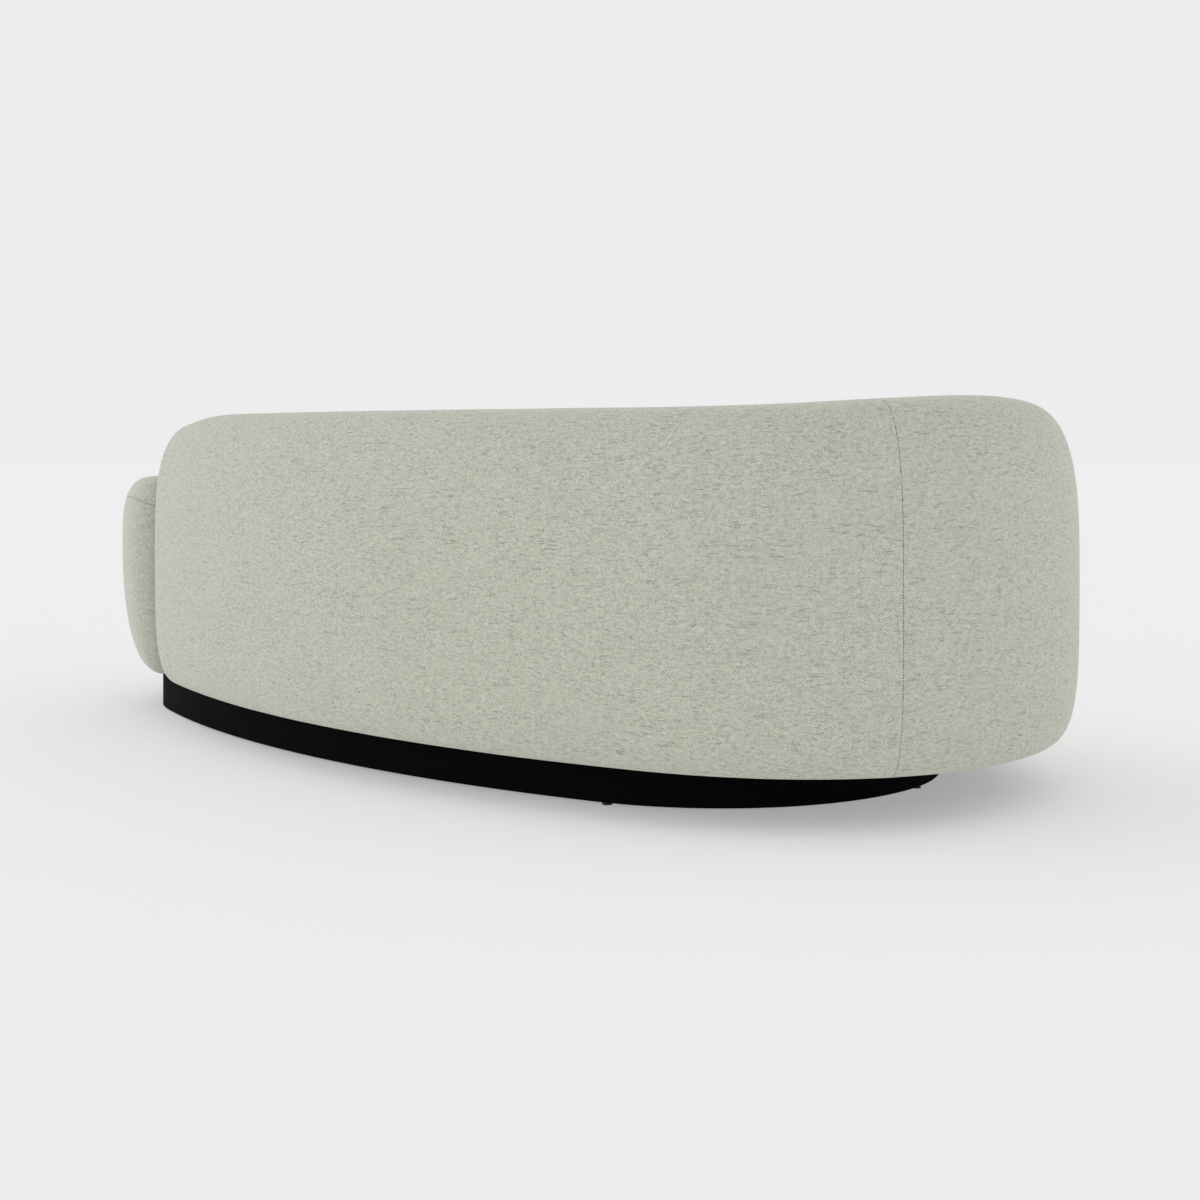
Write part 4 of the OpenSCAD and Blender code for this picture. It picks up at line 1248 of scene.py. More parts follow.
@dataclass(frozen=True)
class Moulded:
    """Black moulded plastic with a fine stipple."""

    colour: Colour = (0.012, 0.012, 0.012)

    def build(self) -> bpy.types.Material:
        """Make the material."""
        g = Graph("black moulded plastic")
        x, y, z = g.spot()
        grain = g.noise((x * 1600, y * 1600, z * 1600), 1.0)
        scuff = g.noise((x * 120, y * 120, z * 60), 3.0, 0.7)
        return g.finish({
            "Base Color": g.blend(self.colour, (0.05, 0.05, 0.05), scuff.over(0.55, 3)),
            "Roughness": 0.45 + 0.25 * scuff,
            "Normal": g.bump(grain, 0.0002, 0.4),
        })


@dataclass(frozen=True)
class Zinc:
    """Bright zinc plate with faint turning marks."""

    colour: Colour = (0.60, 0.61, 0.62)

    def build(self) -> bpy.types.Material:
        """Make the material."""
        g = Graph("zinc plated steel")
        x, y, z = g.spot()
        blotch = g.noise((x * 260, y * 260, z * 260), 3.0)
        turned = (z * 5200).own("SINE")
        return g.finish({
            "Base Color": g.blend(shade(self.colour, 0.8), self.colour, blotch),
            "Metallic": 1.0,
            "Roughness": 0.28 + 0.22 * blotch,
            "Normal": g.bump(turned, 0.0001, 0.3),
        })


class Finish(Protocol):
    """What makes one material."""

    def build(self) -> bpy.types.Material:
        """Make the material."""


def made_by(finish: Finish) -> bpy.types.Material:
    """A field whose value is the material of a finish, made when it is needed."""
    return field(default_factory=finish.build)


@dataclass
class Finishes:
    """The materials of the sofa, made once."""

    cloth: bpy.types.Material = made_by(Melange())
    foam: bpy.types.Material = made_by(CutFoam())
    strap: bpy.types.Material = made_by(Strap())
    plywood: bpy.types.Material = made_by(Wood("birch plywood", *BIRCH, PLY_T))
    lined: bpy.types.Material = made_by(Wood("lined plywood", *BIRCH, PLY_T, True))
    timber: bpy.types.Material = made_by(Wood("planed softwood", *SOFTWOOD))
    board: bpy.types.Material = made_by(Pressed())
    black: bpy.types.Material = made_by(MattBlack())
    plastic: bpy.types.Material = made_by(Moulded())
    zinc: bpy.types.Material = made_by(Zinc())


def dress(material: bpy.types.Material, *names: str) -> None:
    """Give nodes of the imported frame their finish."""
    for name in names:
        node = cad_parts[name]
        if not node.material_slots:
            node.data.materials.append(material)
        for slot in node.material_slots:
            slot.material = material
        LOG.info("%s keeps its shape, in %s", name, material.name)


def fit_bands(name: str, material: bpy.types.Material) -> None:
    """Lay webbing or deck cloth in the place of a node, a little slack on its frame.

    Args:
        name: node that it replaces.
        material: its finish.
    """
    piece = bpy.data.objects.new(f"{name}_bands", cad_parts[name].data.copy())
    bpy.context.collection.objects.link(piece)
    bpy.ops.object.select_all(action="DESELECT")
    piece.select_set(True)
    mesh = piece.data
    mesh.materials.clear()
    mesh.materials.append(material)
    edit(piece, weld, lambda: bpy.ops.mesh.subdivide(number_cuts=3))
    for v in mesh.vertices:
        v.co.z -= SAG * lump(v.co * BAND_LUMPS)
    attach(piece, "root")
    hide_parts(name)


def fit_cover(panel: Panel, name: str, finishes: Finishes, inside: Vector | None) -> None:
    """Turn a panel into a sewn cover that stands for the node of the same name.

    Args:
        panel: the laid-out panel.
        name: node that it replaces.
        finishes: the materials.
        inside: a point on the inner side of its middle, or None where it looks up.
    """
    piece = panel.lay(f"{name}_cloth", inside)
    if inside is None:
        face_up(piece)
    thicken(piece, COVER_T)
    piece.data.materials.append(finishes.cloth)
    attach(piece, "root")
    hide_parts(name)


def sew(wall: Wall, name: str, path: Sequence[tuple[int, float, float]], step: float,
        rows: list[Row], finishes: Finishes) -> None:
    """Sew a panel of the cover on a wall.

    Args:
        wall: the wall.
        name: node that the panel replaces.
        path: its stretches of the wall.
        step: usual distance between its columns.
        rows: its rows, from the bottom up.
        finishes: the materials.
    """
    columns = wall.path(path, step, Ends.BOTH)
    inside = wall.place(columns[len(columns) // 2], wall.thickness / 2, LEVEL.bulge)
    fit_cover(wall.cover(columns, rows), name, finishes, inside)


def fit_lining(name: str, finishes: Finishes, inward: float, z: float, radius: float,
               slack: bool) -> None:
    """Lay a disc of black lining where the arm's end touches the back, a dark sheet that also
    stands in for the shade in the gap.

    Args:
        name: name of the piece.
        finishes: the materials.
        inward: how far its middle is from the contact, towards the sitter.
        z: its height.
        radius: its radius.
        slack: whether its middle hangs a little.
    """
    place = PLAN.nook(inward)
    bpy.ops.object.select_all(action="DESELECT")
    bpy.ops.mesh.primitive_cylinder_add(vertices=LINING_SIDES, radius=radius, depth=LINING_T,
                                        location=(place.real, place.imag, z))
    piece = bpy.context.object
    piece.name = piece.data.name = name
    bpy.ops.object.transform_apply(location=True)
    if slack:
        edit(piece, lambda: bpy.ops.mesh.inset(thickness=LINING_HEM),
             lambda: bpy.ops.mesh.subdivide(number_cuts=1))
        for v in piece.data.vertices:
            v.co.z -= SAG / 2 * lump(v.co * LINING_LUMPS)
    piece.data.materials.append(finishes.strap)
    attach(piece, "root")


def fit_foam(panel: Panel, name: str, finishes: Finishes) -> None:
    """Turn a closed grid into a foam piece that stands for the node of the same name."""
    piece = panel.lay(f"{name}_pad")
    close_holes(piece)
    piece.data.materials.append(finishes.foam)
    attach(piece, "root")
    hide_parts(name)
    LOG.info("%s: %d faces", piece.name, len(piece.data.polygons))


# Sub-assemblies


@dataclass
class Back:
    """The high back: foam over a ribbed frame, in three sewn panels."""

    finishes: Finishes
    column_step: float = 0.016
    row_step: float = 0.010
    lip: float = 0.005
    foam_step: float = 0.030
    foam_foot: float = -78.0
    foam_depth: float = 0.0036
    foam_t: float = 0.012
    board_inset: float = 0.024
    core_inset: float = 0.070
    fill: float = 0.9
    wall: BackWall = field(default_factory=BackWall)

    def rows(self, lip: float) -> list[Row]:
        """Rows from the underside to the crest, with a lip turned in under the frame."""
        rows = self.wall.climb(self.wall.middle, -90.0, 90.0, self.row_step, Ends.LAST)
        return [Row(-90.0, -d, d) for d in (lip, lip / 2) if lip] + rows

    def mesh(self) -> None:
        """Build the covers and the foam."""
        wall, seam = self.wall, self.seam_share
        paths = {
            "back_rear_cover": [*wall.outside[:-2], (2, 0.0, seam)],
            "back_end_cover": [(2, seam, 1.0), wall.outside[-1]],
            "back_inner_cover": wall.inside,
        }
        for name, path in paths.items():
            side = "inner" if path is wall.inside else "outer"
            rows = self.rows(self.lip if side == "outer" else 0.0)
            sew(wall, name, path, self.column_step, rows, self.finishes)

    def foam(self) -> None:
        """Build the outer and the inner foam, which meet on the crest and at both ends."""
        wall, step = self.wall, self.foam_step
        angles = [r.angle for r in wall.climb(wall.middle, self.foam_foot, 90.0, step, Ends.NONE)]
        for name, path in (("back_outer_foam", wall.outside), ("back_inner_foam", wall.inside)):
            lines = []
            for c in wall.path(path, step, Ends.NONE):
                face = [wall.place(c, min(wall.half - FOAM_GAP, i), z) for i, z in
                        (wall.drawn(a, c, self.foam_depth) for a in angles)]
                back = [wall.core(a, c, self.foam_t, self.board_inset, self.core_inset,
                                  LEVEL.back_core_top + CORE_GAP) for a in angles]
                lines.append(ringed(face, back))
            fit_foam(Panel(lines), name, self.finishes)

    @property
    def seam_share(self) -> float:
        """Share of the high end's arc at which the rear and end panels are sewn together."""
        return (PLAN.seam_turn - PLAN.corner_turn) / (PLAN.back_end - PLAN.corner_turn)

    def dress(self) -> None:
        """Finish the hidden frame of the back."""
        f = self.finishes
        dress(f.plywood, "back_ribs", "back_end_formers", "back_top_rail")
        dress(f.board, "back_outer_board")
        dress(f.zinc, "rib_screws")
        fit_bands("back_webbing", f.strap)

    def build(self) -> None:
        """Build and dress the back."""
        self.foam()
        self.mesh()
        self.dress()


@dataclass
class Arm:
    """The low arm: one foam shell in a side, an inner and a top panel."""

    finishes: Finishes
    step: float = 0.012
    row_step: float = 0.010
    lip: float = 0.006
    foam_step: float = 0.025
    foam_foot: float = -74.0
    foam_depth: float = 0.0036
    foam_t: float = 0.012
    board_inset: float = 0.024
    core_inset: float = 0.070
    fill: float = 0.9
    wall: ArmWall = field(default_factory=ArmWall)

    def mesh(self) -> None:
        """Build the side and inner covers."""
        wall = self.wall
        paths = {
            "arm_side_cover": [(3, 0.5, 1.0), (0, 0.0, 1.0), (1, 0.0, 0.5)],
            "arm_inner_cover": [(1, 0.5, 1.0), (2, 0.0, 1.0), (3, 0.0, 0.5)],
        }
        for name, path in paths.items():
            rows = wall.climb(wall.middle, -90.0, wall.seam_angle, self.row_step, Ends.LAST)
            if name == "arm_side_cover":
                rows = [Row(-90.0, -d, d) for d in (self.lip, self.lip / 2)] + rows
            sew(wall, name, path, self.step, rows, self.finishes)

    def top(self) -> None:
        """Build the top panel, which is sewn on all round."""
        wall = self.wall
        rows = wall.climb(wall.middle, wall.seam_angle, 90.0, self.row_step, Ends.FIRST)
        width = rows[-1].run
        pairs = wall.across(self.step)
        lines, along = [], 0.0
        for n, (near, far) in enumerate(pairs):
            if n:
                before = wall.place(pairs[n - 1][0], 0.0, 0.0)
                along += (wall.place(near, 0.0, 0.0) - before).length
            half = [wall.spot(near, r, 0.0, r.run, along) for r in rows]
            other = [wall.spot(far, r, 0.0, r.run, along) for r in rows]
            for spot, far_spot, r in zip(half, other, rows):
                spot.cloth = (along, r.run - width)
                far_spot.cloth = (along, width + wall.crest_w - r.run)
            middle = Spot((half[-1].place + other[-1].place) / 2, (along, wall.crest_w / 2))
            lines.append(half + [middle] + other[::-1])
        inside = wall.place(pairs[len(pairs) // 2][0], wall.thickness / 2, LEVEL.bulge)
        fit_cover(Panel(lines), "arm_top_cover", self.finishes, inside)

    def foam(self) -> None:
        """Build the foam shell over the arm's frame."""
        wall, step = self.wall, self.foam_step
        angles = [r.angle for r in wall.climb(wall.middle, self.foam_foot, 90.0, step, Ends.NONE)]
        lines = []
        for near, far in wall.across(step):
            skin, core = [], []
            for column, order in ((near, angles), (far, angles[::-1])):
                for a in order:
                    inset, z = wall.drawn(a, column, 0.0)
                    depth = self.foam_depth + wall.pressed(wall.place(column, inset, z))
                    inset, z = wall.drawn(a, column, depth)
                    skin.append(wall.place(column, min(wall.half, inset), z))
                    core.append(wall.core(a, column, self.foam_t, self.board_inset, self.core_inset,
                                          LEVEL.arm_core_top + CORE_GAP))
            lines.append(ringed(skin, core))
        fit_foam(Panel(lines), "arm_foam", self.finishes)

    def dress(self) -> None:
        """Finish the hidden frame of the arm."""
        f = self.finishes
        dress(f.plywood, "arm_ribs", "arm_end_formers", "arm_top_rail")
        dress(f.board, "arm_outer_board")
        fit_bands("arm_webbing", f.strap)

    def build(self) -> None:
        """Build and dress the arm."""
        self.foam()
        self.mesh()
        self.top()
        self.dress()


@dataclass(frozen=True)
class RoundEnd:
    """A rounded end of the back or arm, as the seat's outline follows it at one height."""

    centre: complex
    turn: float
    way: int
    radius: float
    drawn: float

    def at(self, share: float) -> complex:
        """The place at a share of the way round."""
        reach = self.radius - self.drawn * face_share(1, 0, share)
        return self.centre + reach * towards(self.turn + self.way * 180 * share)

    def share(self, place: complex) -> float:
        """Share of the way round at which a place lies."""
        return (self.way * (turn_of(place - self.centre) - self.turn)) % 360 / 180

    def crossing(self, middle: complex, reach: float) -> tuple[float, complex]:
        """Where it runs in behind the front's arc: share of the way round, and place."""
        low, high = 0.0, 1.0
        while high - low > SAME:
            share = (low + high) / 2
            place = self.at(share)
            low, high = (share, high) if abs(place - middle) > reach else (low, share)
        return share, place

    def follow(self, start: float, end: float, steps: int) -> list[complex]:
        """Places from one share of the way round to another, both included."""
        return [self.at(mix(start, end, i / steps)) for i in range(steps + 1)]


@dataclass
class Seat:
    """The fixed seat: foam core, soft topper and front padding under two sewn panels."""

    finishes: Finishes
    # Size of the top panel's flat cut
    cut: tuple[float, float] = (2.15, 1.02)
    # Points of the outline to each unit of an arc's count, and the counts of the front's arcs and
    # of the others, in order round the seat
    fine: int = 5
    front_arcs: tuple[int, int, int] = (5, 8, 4)
    other_arcs: tuple[int, ...] = (6, 10, 3, 3, 9, 3, 11, 6)
    front_set: float = 0.010
    front_roll: float = 0.080
    front_round: float = 0.120
    crown: float = 0.022
    # Shares of the way to the middle at which the crown has a ring, for the cover and the topper
    crown_shares: tuple[float, ...] = (0.02, 0.05, 0.09, 0.14, 0.2, 0.27, 0.35, 0.44, 0.54, 0.64,
                                       0.74, 0.83, 0.91, 0.97, 1.0)
    topper_shares: tuple[float, ...] = (0.1, 0.25, 0.45, 0.7, 0.9)
    # How near the crown's middle line comes to the end centres, and steps along it
    ridge_end: float = 0.125
    ridge_steps: int = 40
    seam_angle: float = 40.0
    rim_rows: int = 14
    row_step: float = 0.010
    lip: float = 0.006
    wall_gap: float = 0.0016
    dome_slack: float = 0.003
    nook_share: float = 0.6
    nook_r: float = 0.034
    nook_gap: float = 0.001
    edge_round: float = 0.012
    topper_t: float = 0.040
    # How far the foams lie inside the cover and inside the walls' faces
    foam_depth: float = 0.0048
    foam_side: float = 0.0030
    pad_in: float = 0.052
    pad_side: float = 0.009
    pad_foot: float = -54.0
    pad_gap: float = 0.003
    pad_rows: int = 8
    # Rings of the core below and above its fullest level, and of the topper's side
    core_low: int = 3
    core_high: int = 6
    topper_rows: int = 8
    # Length of rim that a point of the outline stands for in the gathers
    rim_pitch: float = 0.02
    core_fill: float = 0.95
    soft_fill: float = 0.8

    @cached_property
    def profile(self) -> Profile:
        """Side profile of the seat's front."""
        return Profile(LEVEL.under, LEVEL.front_bulge, LEVEL.seat_top, self.front_roll, 2.6,
                       self.front_round)

    def drawn_in(self, z: float, roll: float, curve: float) -> float:
        """How far the underside of the back or arm is drawn in at height z."""
        if z >= LEVEL.bulge:
            return 0.0
        shape = Profile(LEVEL.under, LEVEL.bulge, LEVEL.bulge, roll, curve, 0.0)
        return shape.at(shape.low_angle(max(z, LEVEL.under)))[0]

    def line(self, front_in: float, side_in: float, z: float) -> list[complex]:
        """The seat's outline at a height.

        Args:
            front_in: how far its front is set in.
            side_in: how far its other sides are set in from the walls.
            z: the height, which sets how the rounded ends of the walls are drawn in.

        Returns:
            Points in plan, first the front from the high end to the low end.
        """
        p, fine = PLAN, self.fine
        first, second, third = self.front_arcs
        high_r = p.high_end_r - self.front_set - front_in
        low_r = p.low_end_r - self.front_set - front_in
        gap = p.slack + self.dome_slack + max(0.0, side_in)
        back_r, arm_r = p.back_t / 2 + gap, p.arm_t / 2 + gap
        back_in = self.drawn_in(z, BackWall.roll, BackWall.low_curve)
        arm_in = self.drawn_in(z, ArmWall.roll, ArmWall.low_curve)
        side = self.wall_gap + side_in

        def along(c: complex, r: float, a: float, b: float, n: int, skip: int = 0) -> list[complex]:
            """Points on an arc, without its last."""
            return [c + r * towards(mix(a, b, i / (n * fine))) for i in range(skip, n * fine)]

        back_front = RoundEnd(p.back_high, p.back_end, 1, back_r, back_in)
        back_nook = RoundEnd(p.back_low, p.back_start, -1, back_r, back_in)
        arm_front = RoundEnd(p.arm_fore, p.arm_front, -1, arm_r, arm_in)
        arm_nook = RoundEnd(p.arm_rear, p.arm_back, 1, arm_r, arm_in)
        high_s, high_meet = back_front.crossing(p.high, high_r)
        low_s, low_meet = arm_front.crossing(p.low, low_r)
        arm_s = mix(1, arm_nook.share(p.back_low), self.nook_share)
        back_s = mix(1, back_nook.share(p.arm_rear), self.nook_share)
        tip, arm, turned, turn_back, rear, corner, high, last = self.other_arcs
        return (
            along(p.high, high_r, turn_of(high_meet - p.high) + 360, p.high_front_turn, first)
            + along(p.front, -p.front_hollow_r - self.front_set - front_in, p.high_front_turn,
                    p.low_front_turn + 360, second)
            + along(p.low, low_r, p.low_front_turn, turn_of(low_meet - p.low), third)
            + arm_front.follow(low_s, 1, tip * fine)
            + along(p.low, p.low_end_r - p.arm_t - side, p.arm_front, p.arm_back, arm, 1)
            + arm_nook.follow(1, arm_s, turned * fine)
            + back_nook.follow(back_s, 1, turn_back * fine)
            + along(p.rear, p.rear_r - p.back_t - side, p.back_start, p.rear_turn, rear, 1)
            + along(p.corner, p.corner_r - p.back_t - side, p.rear_turn, p.corner_turn, corner)
            + along(p.high, p.high_end_r - p.back_t - side, p.corner_turn, p.back_end, high)
            + back_front.follow(1, high_s, last * fine)[:-1]
        )

    @property
    def front_count(self) -> int:
        """Number of points of the outline along the front."""
        return sum(self.front_arcs) * self.fine + 1

    def set_in(self, angle: float, depth: float) -> tuple[float, float]:
        """Inset and height of the front's profile, moved inwards by depth."""
        return moved_in(self.profile.at, angle, depth)

    def rim(self, angles: Iterable[float], depth: float, side: float, rounded: bool
            ) -> list[list[Vector]]:
        """Rings of the seat's rim at angles of the front's profile."""
        rings = []
        for angle in angles:
            inset, z = self.set_in(angle, depth)
            share = max(0.0, (angle - self.seam_angle) / (90 - self.seam_angle))
            bow = 1 - math.cos(math.radians(90 * share ** 2))
            pull = self.edge_round * bow if rounded else 0.0
            rings.append([Vector((q.real, q.imag, z)) for q in self.line(inset, side + pull, z)])
        return rings

    def crown_rings(self, depth: float, side: float, shares: Iterable[float]) -> list[list[Vector]]:
        """Rings of the seat's crown, drawn in to the line between the two end centres."""
        edge = self.line(self.front_round, side, LEVEL.bulge)
        rings = []
        for share in shares:
            z = LEVEL.seat_top - depth + self.crown * (1 - (1 - share) ** 2)
            rings.append(self.shrunk([Vector((q.real, q.imag, z)) for q in edge], share))
        return rings

    def shrunk(self, ring: list[Vector], share: float) -> list[Vector]:
        """A ring drawn in, on the level, towards the line between the two end centres.

        Drawn in all the way, its two halves meet in the same points.
        """
        p = PLAN
        way = p.low - p.high
        made = []
        for v in ring:
            q = complex(v.x, v.y)
            t = ((q - p.high) * way.conjugate()).real / abs(way) ** 2
            if share == 1.0:
                t = round(t * self.ridge_steps) / self.ridge_steps
            r = q + (p.high + min(1 - self.ridge_end, max(self.ridge_end, t)) * way - q) * share
            made.append(Vector((r.real, r.imag, v.z)))
        return made

    def top(self) -> None:
        """Build the seat's top panel."""
        last = self.rim_rows
        angles = [mix(self.seam_angle, 90, i / last) for i in range(last + 1)]
        rings = self.rim(angles, 0.0, 0.0, True)
        rings += self.crown_rings(0.0, self.edge_round, self.crown_shares)
        base = rings[last]
        count = len(base)
        lines = []
        for i in range(count + 1):
            n = i % count
            line, runs = [], [0.0]
            for a, b in zip(rings[:last], rings[1:last + 1]):
                runs.append(runs[-1] + (b[n] - a[n]).length)
            out = base[(n + 1) % count] - base[n - 1]
            side = Vector((out.y, -out.x, 0)).normalized()
            for k, ring in enumerate(rings):
                p = ring[n]
                cloth = base[n] + side * (runs[-1] - runs[k]) if k < last else p
                seam = runs[k] if k < last and n < self.front_count else 1.0
                low = slackness(p) + roll_in(seam) + pucker(seam, n * self.rim_pitch)
                line.append(Spot(p - Vector((0, 0, low)), (cloth.x, cloth.y), seam))
            lines.append(line)
        fit_cover(Panel(lines), "seat_cover", self.finishes, None)

    def front(self) -> None:
        """Build the seat's front panel."""
        rows = FrontWall(self).climb(Column(0, 0, 0, 1, 0), -90.0, self.seam_angle, self.row_step,
                                     Ends.LAST)
        rows = [Row(-90.0, -d, d) for d in (self.lip, self.lip / 2)] + rows
        made: list[list[Spot]] = [[] for _ in range(self.front_count)]
        for r in rows:
            seam = rows[-1].run - r.run
            inset0, z0 = self.set_in(r.angle, 0.0)
            outline = self.line(inset0, 0.0, z0)
            run = 0.0
            for n in range(self.front_count):
                q = outline[n]
                if n:
                    run += abs(q - outline[n - 1])
                depth = slackness(Vector((q.real, q.imag, z0))) + roll_in(seam) + pucker(seam, run)
                inset, z = self.set_in(r.angle, depth)
                normal = outline[min(n + 1, self.front_count - 1)] - outline[max(0, n - 1)]
                normal = normal / abs(normal) * 1j
                q = q + normal * (inset - inset0 + r.lip)
                made[n].append(Spot(Vector((q.real, q.imag, z)), (run, r.run), seam))
        middle = made[len(made) // 2][len(rows) // 2].place
        inside = Vector((middle.x, middle.y + 0.2, middle.z))
        fit_cover(Panel(made), "front_cover", self.finishes, inside)

    def foam(self) -> None:
        """Build the foam core, the topper and the front padding."""
        skin, side = self.foam_depth, self.foam_side
        core_z = LEVEL.seat_top - self.topper_t
        low = self.profile.low_angle(LEVEL.foam)
        top = self.profile.top_angle(core_z)
        angles = [mix(low, 0, i / self.core_low) for i in range(self.core_low)]
        angles += [mix(0.5, top, i / self.core_high) for i in range(self.core_high + 1)]
        rings = self.rim(angles, skin, side, False)
        rings[0] = [Vector((p.x, p.y, LEVEL.foam)) for p in rings[0]]
        rings[-1] = [Vector((p.x, p.y, core_z)) for p in rings[-1]]
        self.stack("seat_foam", rings)
        angles = [mix(top, 90, i / self.topper_rows) for i in range(self.topper_rows + 1)]
        rings = self.rim(angles, skin, side, True)
        rings[0] = [Vector((p.x, p.y, core_z + CORE_GAP)) for p in rings[0]]
        rings += self.crown_rings(skin, side + self.edge_round, self.topper_shares)
        self.stack("seat_topper", rings)
        pad = self.profile.low_angle(LEVEL.foam - self.pad_gap)
        angles = [mix(self.pad_foot, pad, i / self.pad_rows) for i in range(self.pad_rows + 1)]
        rings = self.rim(angles, skin, self.pad_side, False)
        inner = [[Vector((q.real, q.imag, z)) for q in self.line(self.pad_in, self.pad_side, z)]
                 for z in (r[0].z for r in rings)]
        lines = [ringed([r[n] for r in rings], [r[n] for r in inner])
                 for n in range(self.front_count)]
        fit_foam(Panel(lines), "front_padding", self.finishes)

    def stack(self, name: str, rings: list[list[Vector]]) -> None:
        """Close rings of points into one foam piece."""
        count = len(rings[0])
        lines = [[Spot(r[i % count], (0.0, 0.0)) for r in rings] for i in range(count + 1)]
        fit_foam(Panel(lines), name, self.finishes)

    def dress(self) -> None:
        """Finish the seat's hidden frame and springing."""
        f = self.finishes
        dress(f.timber, "seat_front_rail", "seat_rear_rail", "seat_low_end_rail",
              "seat_cross_rails")
        fit_bands("seat_webbing", f.strap)
        fit_bands("deck_cloth", f.strap)
        # Black lining disc in the nook between arm and back: a dark sheet that stands in for the
        # shade there, where the floor showed through.
        fit_lining("nook_shade_lining_cloth", f, self.nook_r, LEVEL.foam - self.nook_gap, self.nook_r,
                   True)

    def build(self) -> None:
        """Build and dress the seat."""
        self.foam()
        self.top()
        self.front()
        self.dress()


class FrontWall(Wall):
    """The seat's front as a wall, to space its rows."""

    def __init__(self, seat: Seat) -> None:
        super().__init__([], 0.0, 1.0)
        self.shape = seat.profile

    def profile(self, column: Column) -> Profile:
        """The side profile of the front."""
        return self.shape


@dataclass
class Base:
    """The plinth with its glides, bearers and screws, and the panel on top."""

    finishes: Finishes
    # Radius of the black lining behind the panel's notch, a dark sheet that stands in for the shade
    # inside the plinth, how far in its middle lies, and its height
    notch_r: float = 0.080
    notch_in: float = 0.048
    notch_z: float = 0.0945

    def build(self) -> None:
        """Dress the base, and close the notch of its panel between arm and back with a dark sheet
        that stands in for the shade there.
        """
        f = self.finishes
        dress(f.black, "plinth_skirt")
        dress(f.plastic, "glides")
        dress(f.plywood, "plinth_bearers")
        dress(f.lined, "base_panel")
        dress(f.zinc, "plinth_screws")
        # Black lining disc: a dark sheet that stands in for the shade inside the plinth, where the
        # floor showed through.
        fit_lining("notch_shade_lining_cloth", f, self.notch_in, self.notch_z, self.notch_r,
                   False)


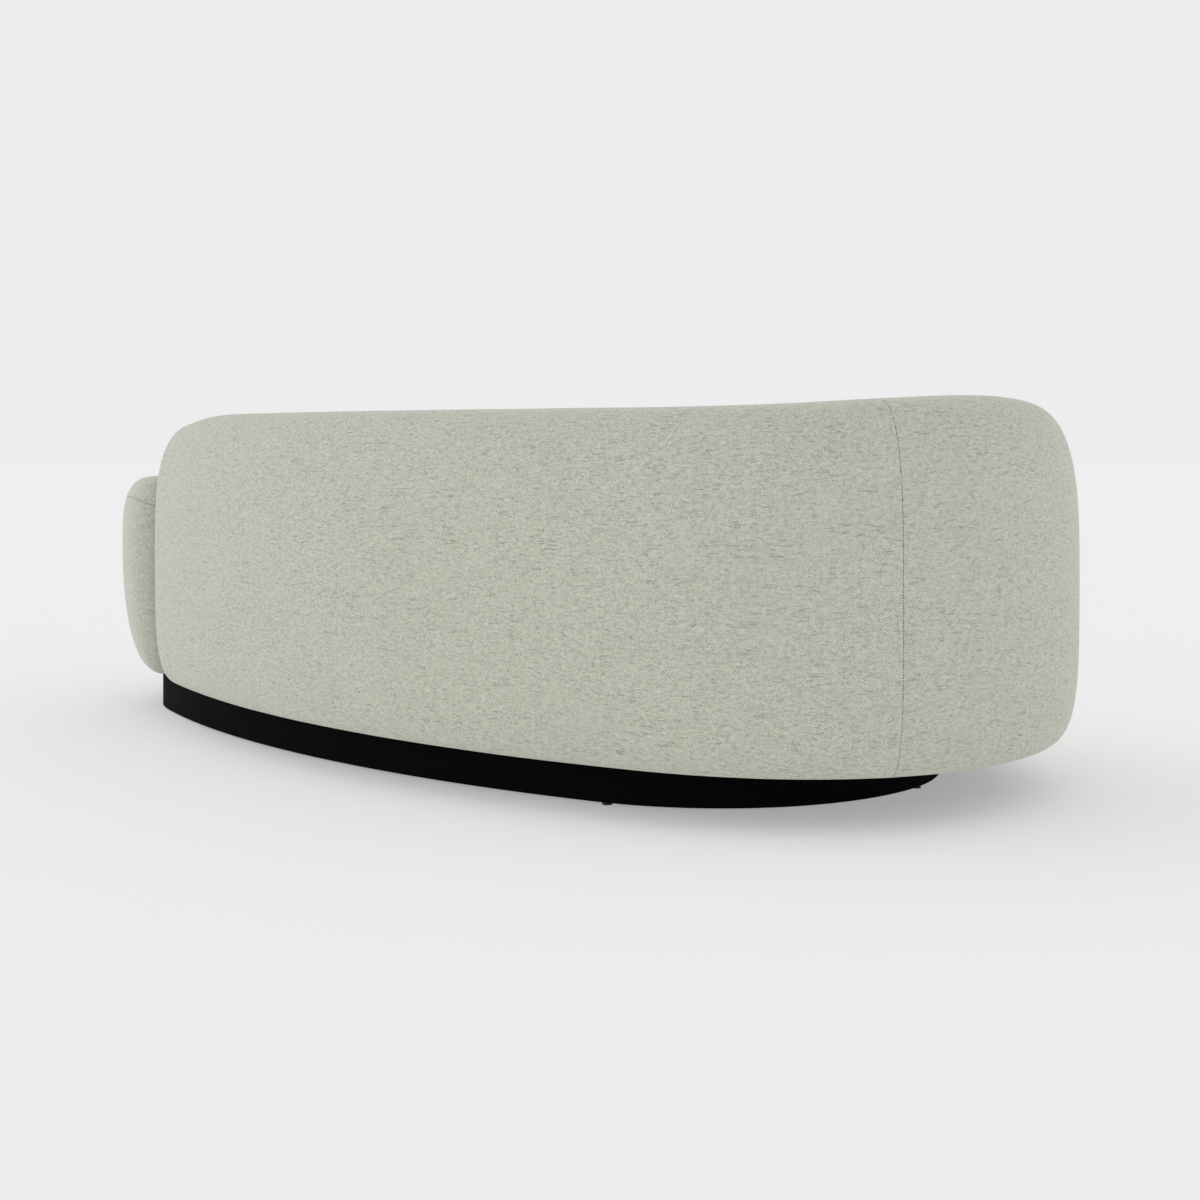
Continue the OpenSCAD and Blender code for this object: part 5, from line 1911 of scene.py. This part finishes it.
@dataclass
class Studio:
    """Plain pale floor, soft light and the camera at the photograph's place."""

    camera_at: tuple[float, float, float] = (-2.5667, 2.6121, 0.658)
    camera_turn: float = 221.47
    lens: float = 48.0
    shift: float = -0.1275
    pale: float = 0.847
    above: float = 1.04
    beside: float = 1.17
    left_strength: float = 0.70
    right_strength: float = 0.12
    floor_colour: Colour = (0.98, 0.98, 0.98)
    floor_share: float = 0.42
    floor_light: float = 0.772
    floor_glow: float = 0.14
    floor_size: float = 120.0
    floor_z: float = -0.0004
    lamp_spread: float = 70.0
    # Share of the pale world that glossy faces mirror, and width of the camera's film in mm
    mirrored: float = 0.5
    film: float = 36.0

    def build(self) -> None:
        """Set up the floor, world, lamp and camera."""
        self.floor()
        self.world()
        self.lamps()
        self.camera()
        bpy.context.scene.view_settings.view_transform = "Standard"

    def floor(self) -> None:
        """A wide pale floor that keeps the shadow and is clear from below."""
        bpy.ops.object.select_all(action="DESELECT")
        bpy.ops.mesh.primitive_plane_add(size=self.floor_size, location=(0, 0, self.floor_z))
        plane = bpy.context.object
        plane.name = "studio_floor"
        g = Graph("studio floor")
        diffuse = g.node("ShaderNodeBsdfDiffuse", {}, {"Color": self.floor_colour})
        glow = g.node("ShaderNodeEmission", {},
                      {"Color": (1.0, 1.0, 1.0), "Strength": self.floor_light})
        seen = g.node("ShaderNodeLightPath", {}, {}, "Is Camera Ray")
        bounce = g.node("ShaderNodeEmission", {}, {"Strength": self.floor_glow})
        white = g.node("ShaderNodeAddShader", {}, {0: diffuse, 1: bounce})
        soft = g.node("ShaderNodeMixShader", {}, {0: seen, 1: white, 2: diffuse})
        lit = g.node("ShaderNodeMixShader", {}, {0: seen * self.floor_share, 1: soft, 2: glow})
        clear = g.node("ShaderNodeBsdfTransparent", {}, {})
        below = g.node("ShaderNodeNewGeometry", {}, {}, "Backfacing")
        g.close(g.node("ShaderNodeMixShader", {}, {0: below, 1: lit, 2: clear}))
        plane.data.materials.append(g.owner)

    def world(self) -> None:
        """Even light from all round, a little stronger from the sides than from above."""
        g = Graph("studio", bpy.data.worlds.new("studio"))
        bpy.context.scene.world = g.owner
        way = g.node("ShaderNodeTexCoord", {}, {}, "Generated")
        up = g.node("ShaderNodeSeparateXYZ", {}, {0: way}, "Z").clipped()
        strength = self.above + (self.beside - self.above) * (1 - up) ** 2
        light = g.node("ShaderNodeBackground", {}, {"Strength": strength})
        pale = g.node("ShaderNodeBackground", {}, {"Color": (self.pale,) * 3})
        rays = g.node("ShaderNodeLightPath", {}, {}, "Is Camera Ray")
        glossy = Tone(g, rays.socket.node.outputs["Is Glossy Ray"])
        shown = rays.maths("MAXIMUM", rays, glossy * self.mirrored)
        g.close(g.node("ShaderNodeMixShader", {}, {0: shown, 1: light, 2: pale}))

    def lamps(self) -> None:
        """A wide soft lamp at each side of the sofa."""
        for name, strength, way in (("left_softbox", self.left_strength, (-0.90, -0.50, -0.35)),
                                    ("right_softbox", self.right_strength, (0.90, 0.35, -0.35))):
            data = bpy.data.lights.new(name, "SUN")
            data.energy = strength
            data.angle = math.radians(self.lamp_spread)
            lamp = bpy.data.objects.new(name, data)
            bpy.context.collection.objects.link(lamp)
            lamp.rotation_euler = Vector(way).to_track_quat("-Z", "Y").to_euler()

    def camera(self) -> None:
        """The camera, level, behind the sofa."""
        data = bpy.data.cameras.new("camera")
        data.sensor_width = self.film
        data.lens = self.lens
        data.shift_y = self.shift
        camera = bpy.data.objects.new("camera", data)
        bpy.context.collection.objects.link(camera)
        camera.location = self.camera_at
        camera.rotation_euler = (math.pi / 2, 0.0, math.radians(self.camera_turn))
        bpy.context.scene.camera = camera


def main() -> None:
    """Build the sofa on its frame, then the studio."""
    logging.basicConfig(level=logging.INFO, format="%(message)s")
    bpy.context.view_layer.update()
    finishes = Finishes()
    for part in (Base(finishes), Seat(finishes), Back(finishes), Arm(finishes), Studio()):
        part.build()
        LOG.info("%s is done", type(part).__name__)


if __name__ == "__main__":
    main()
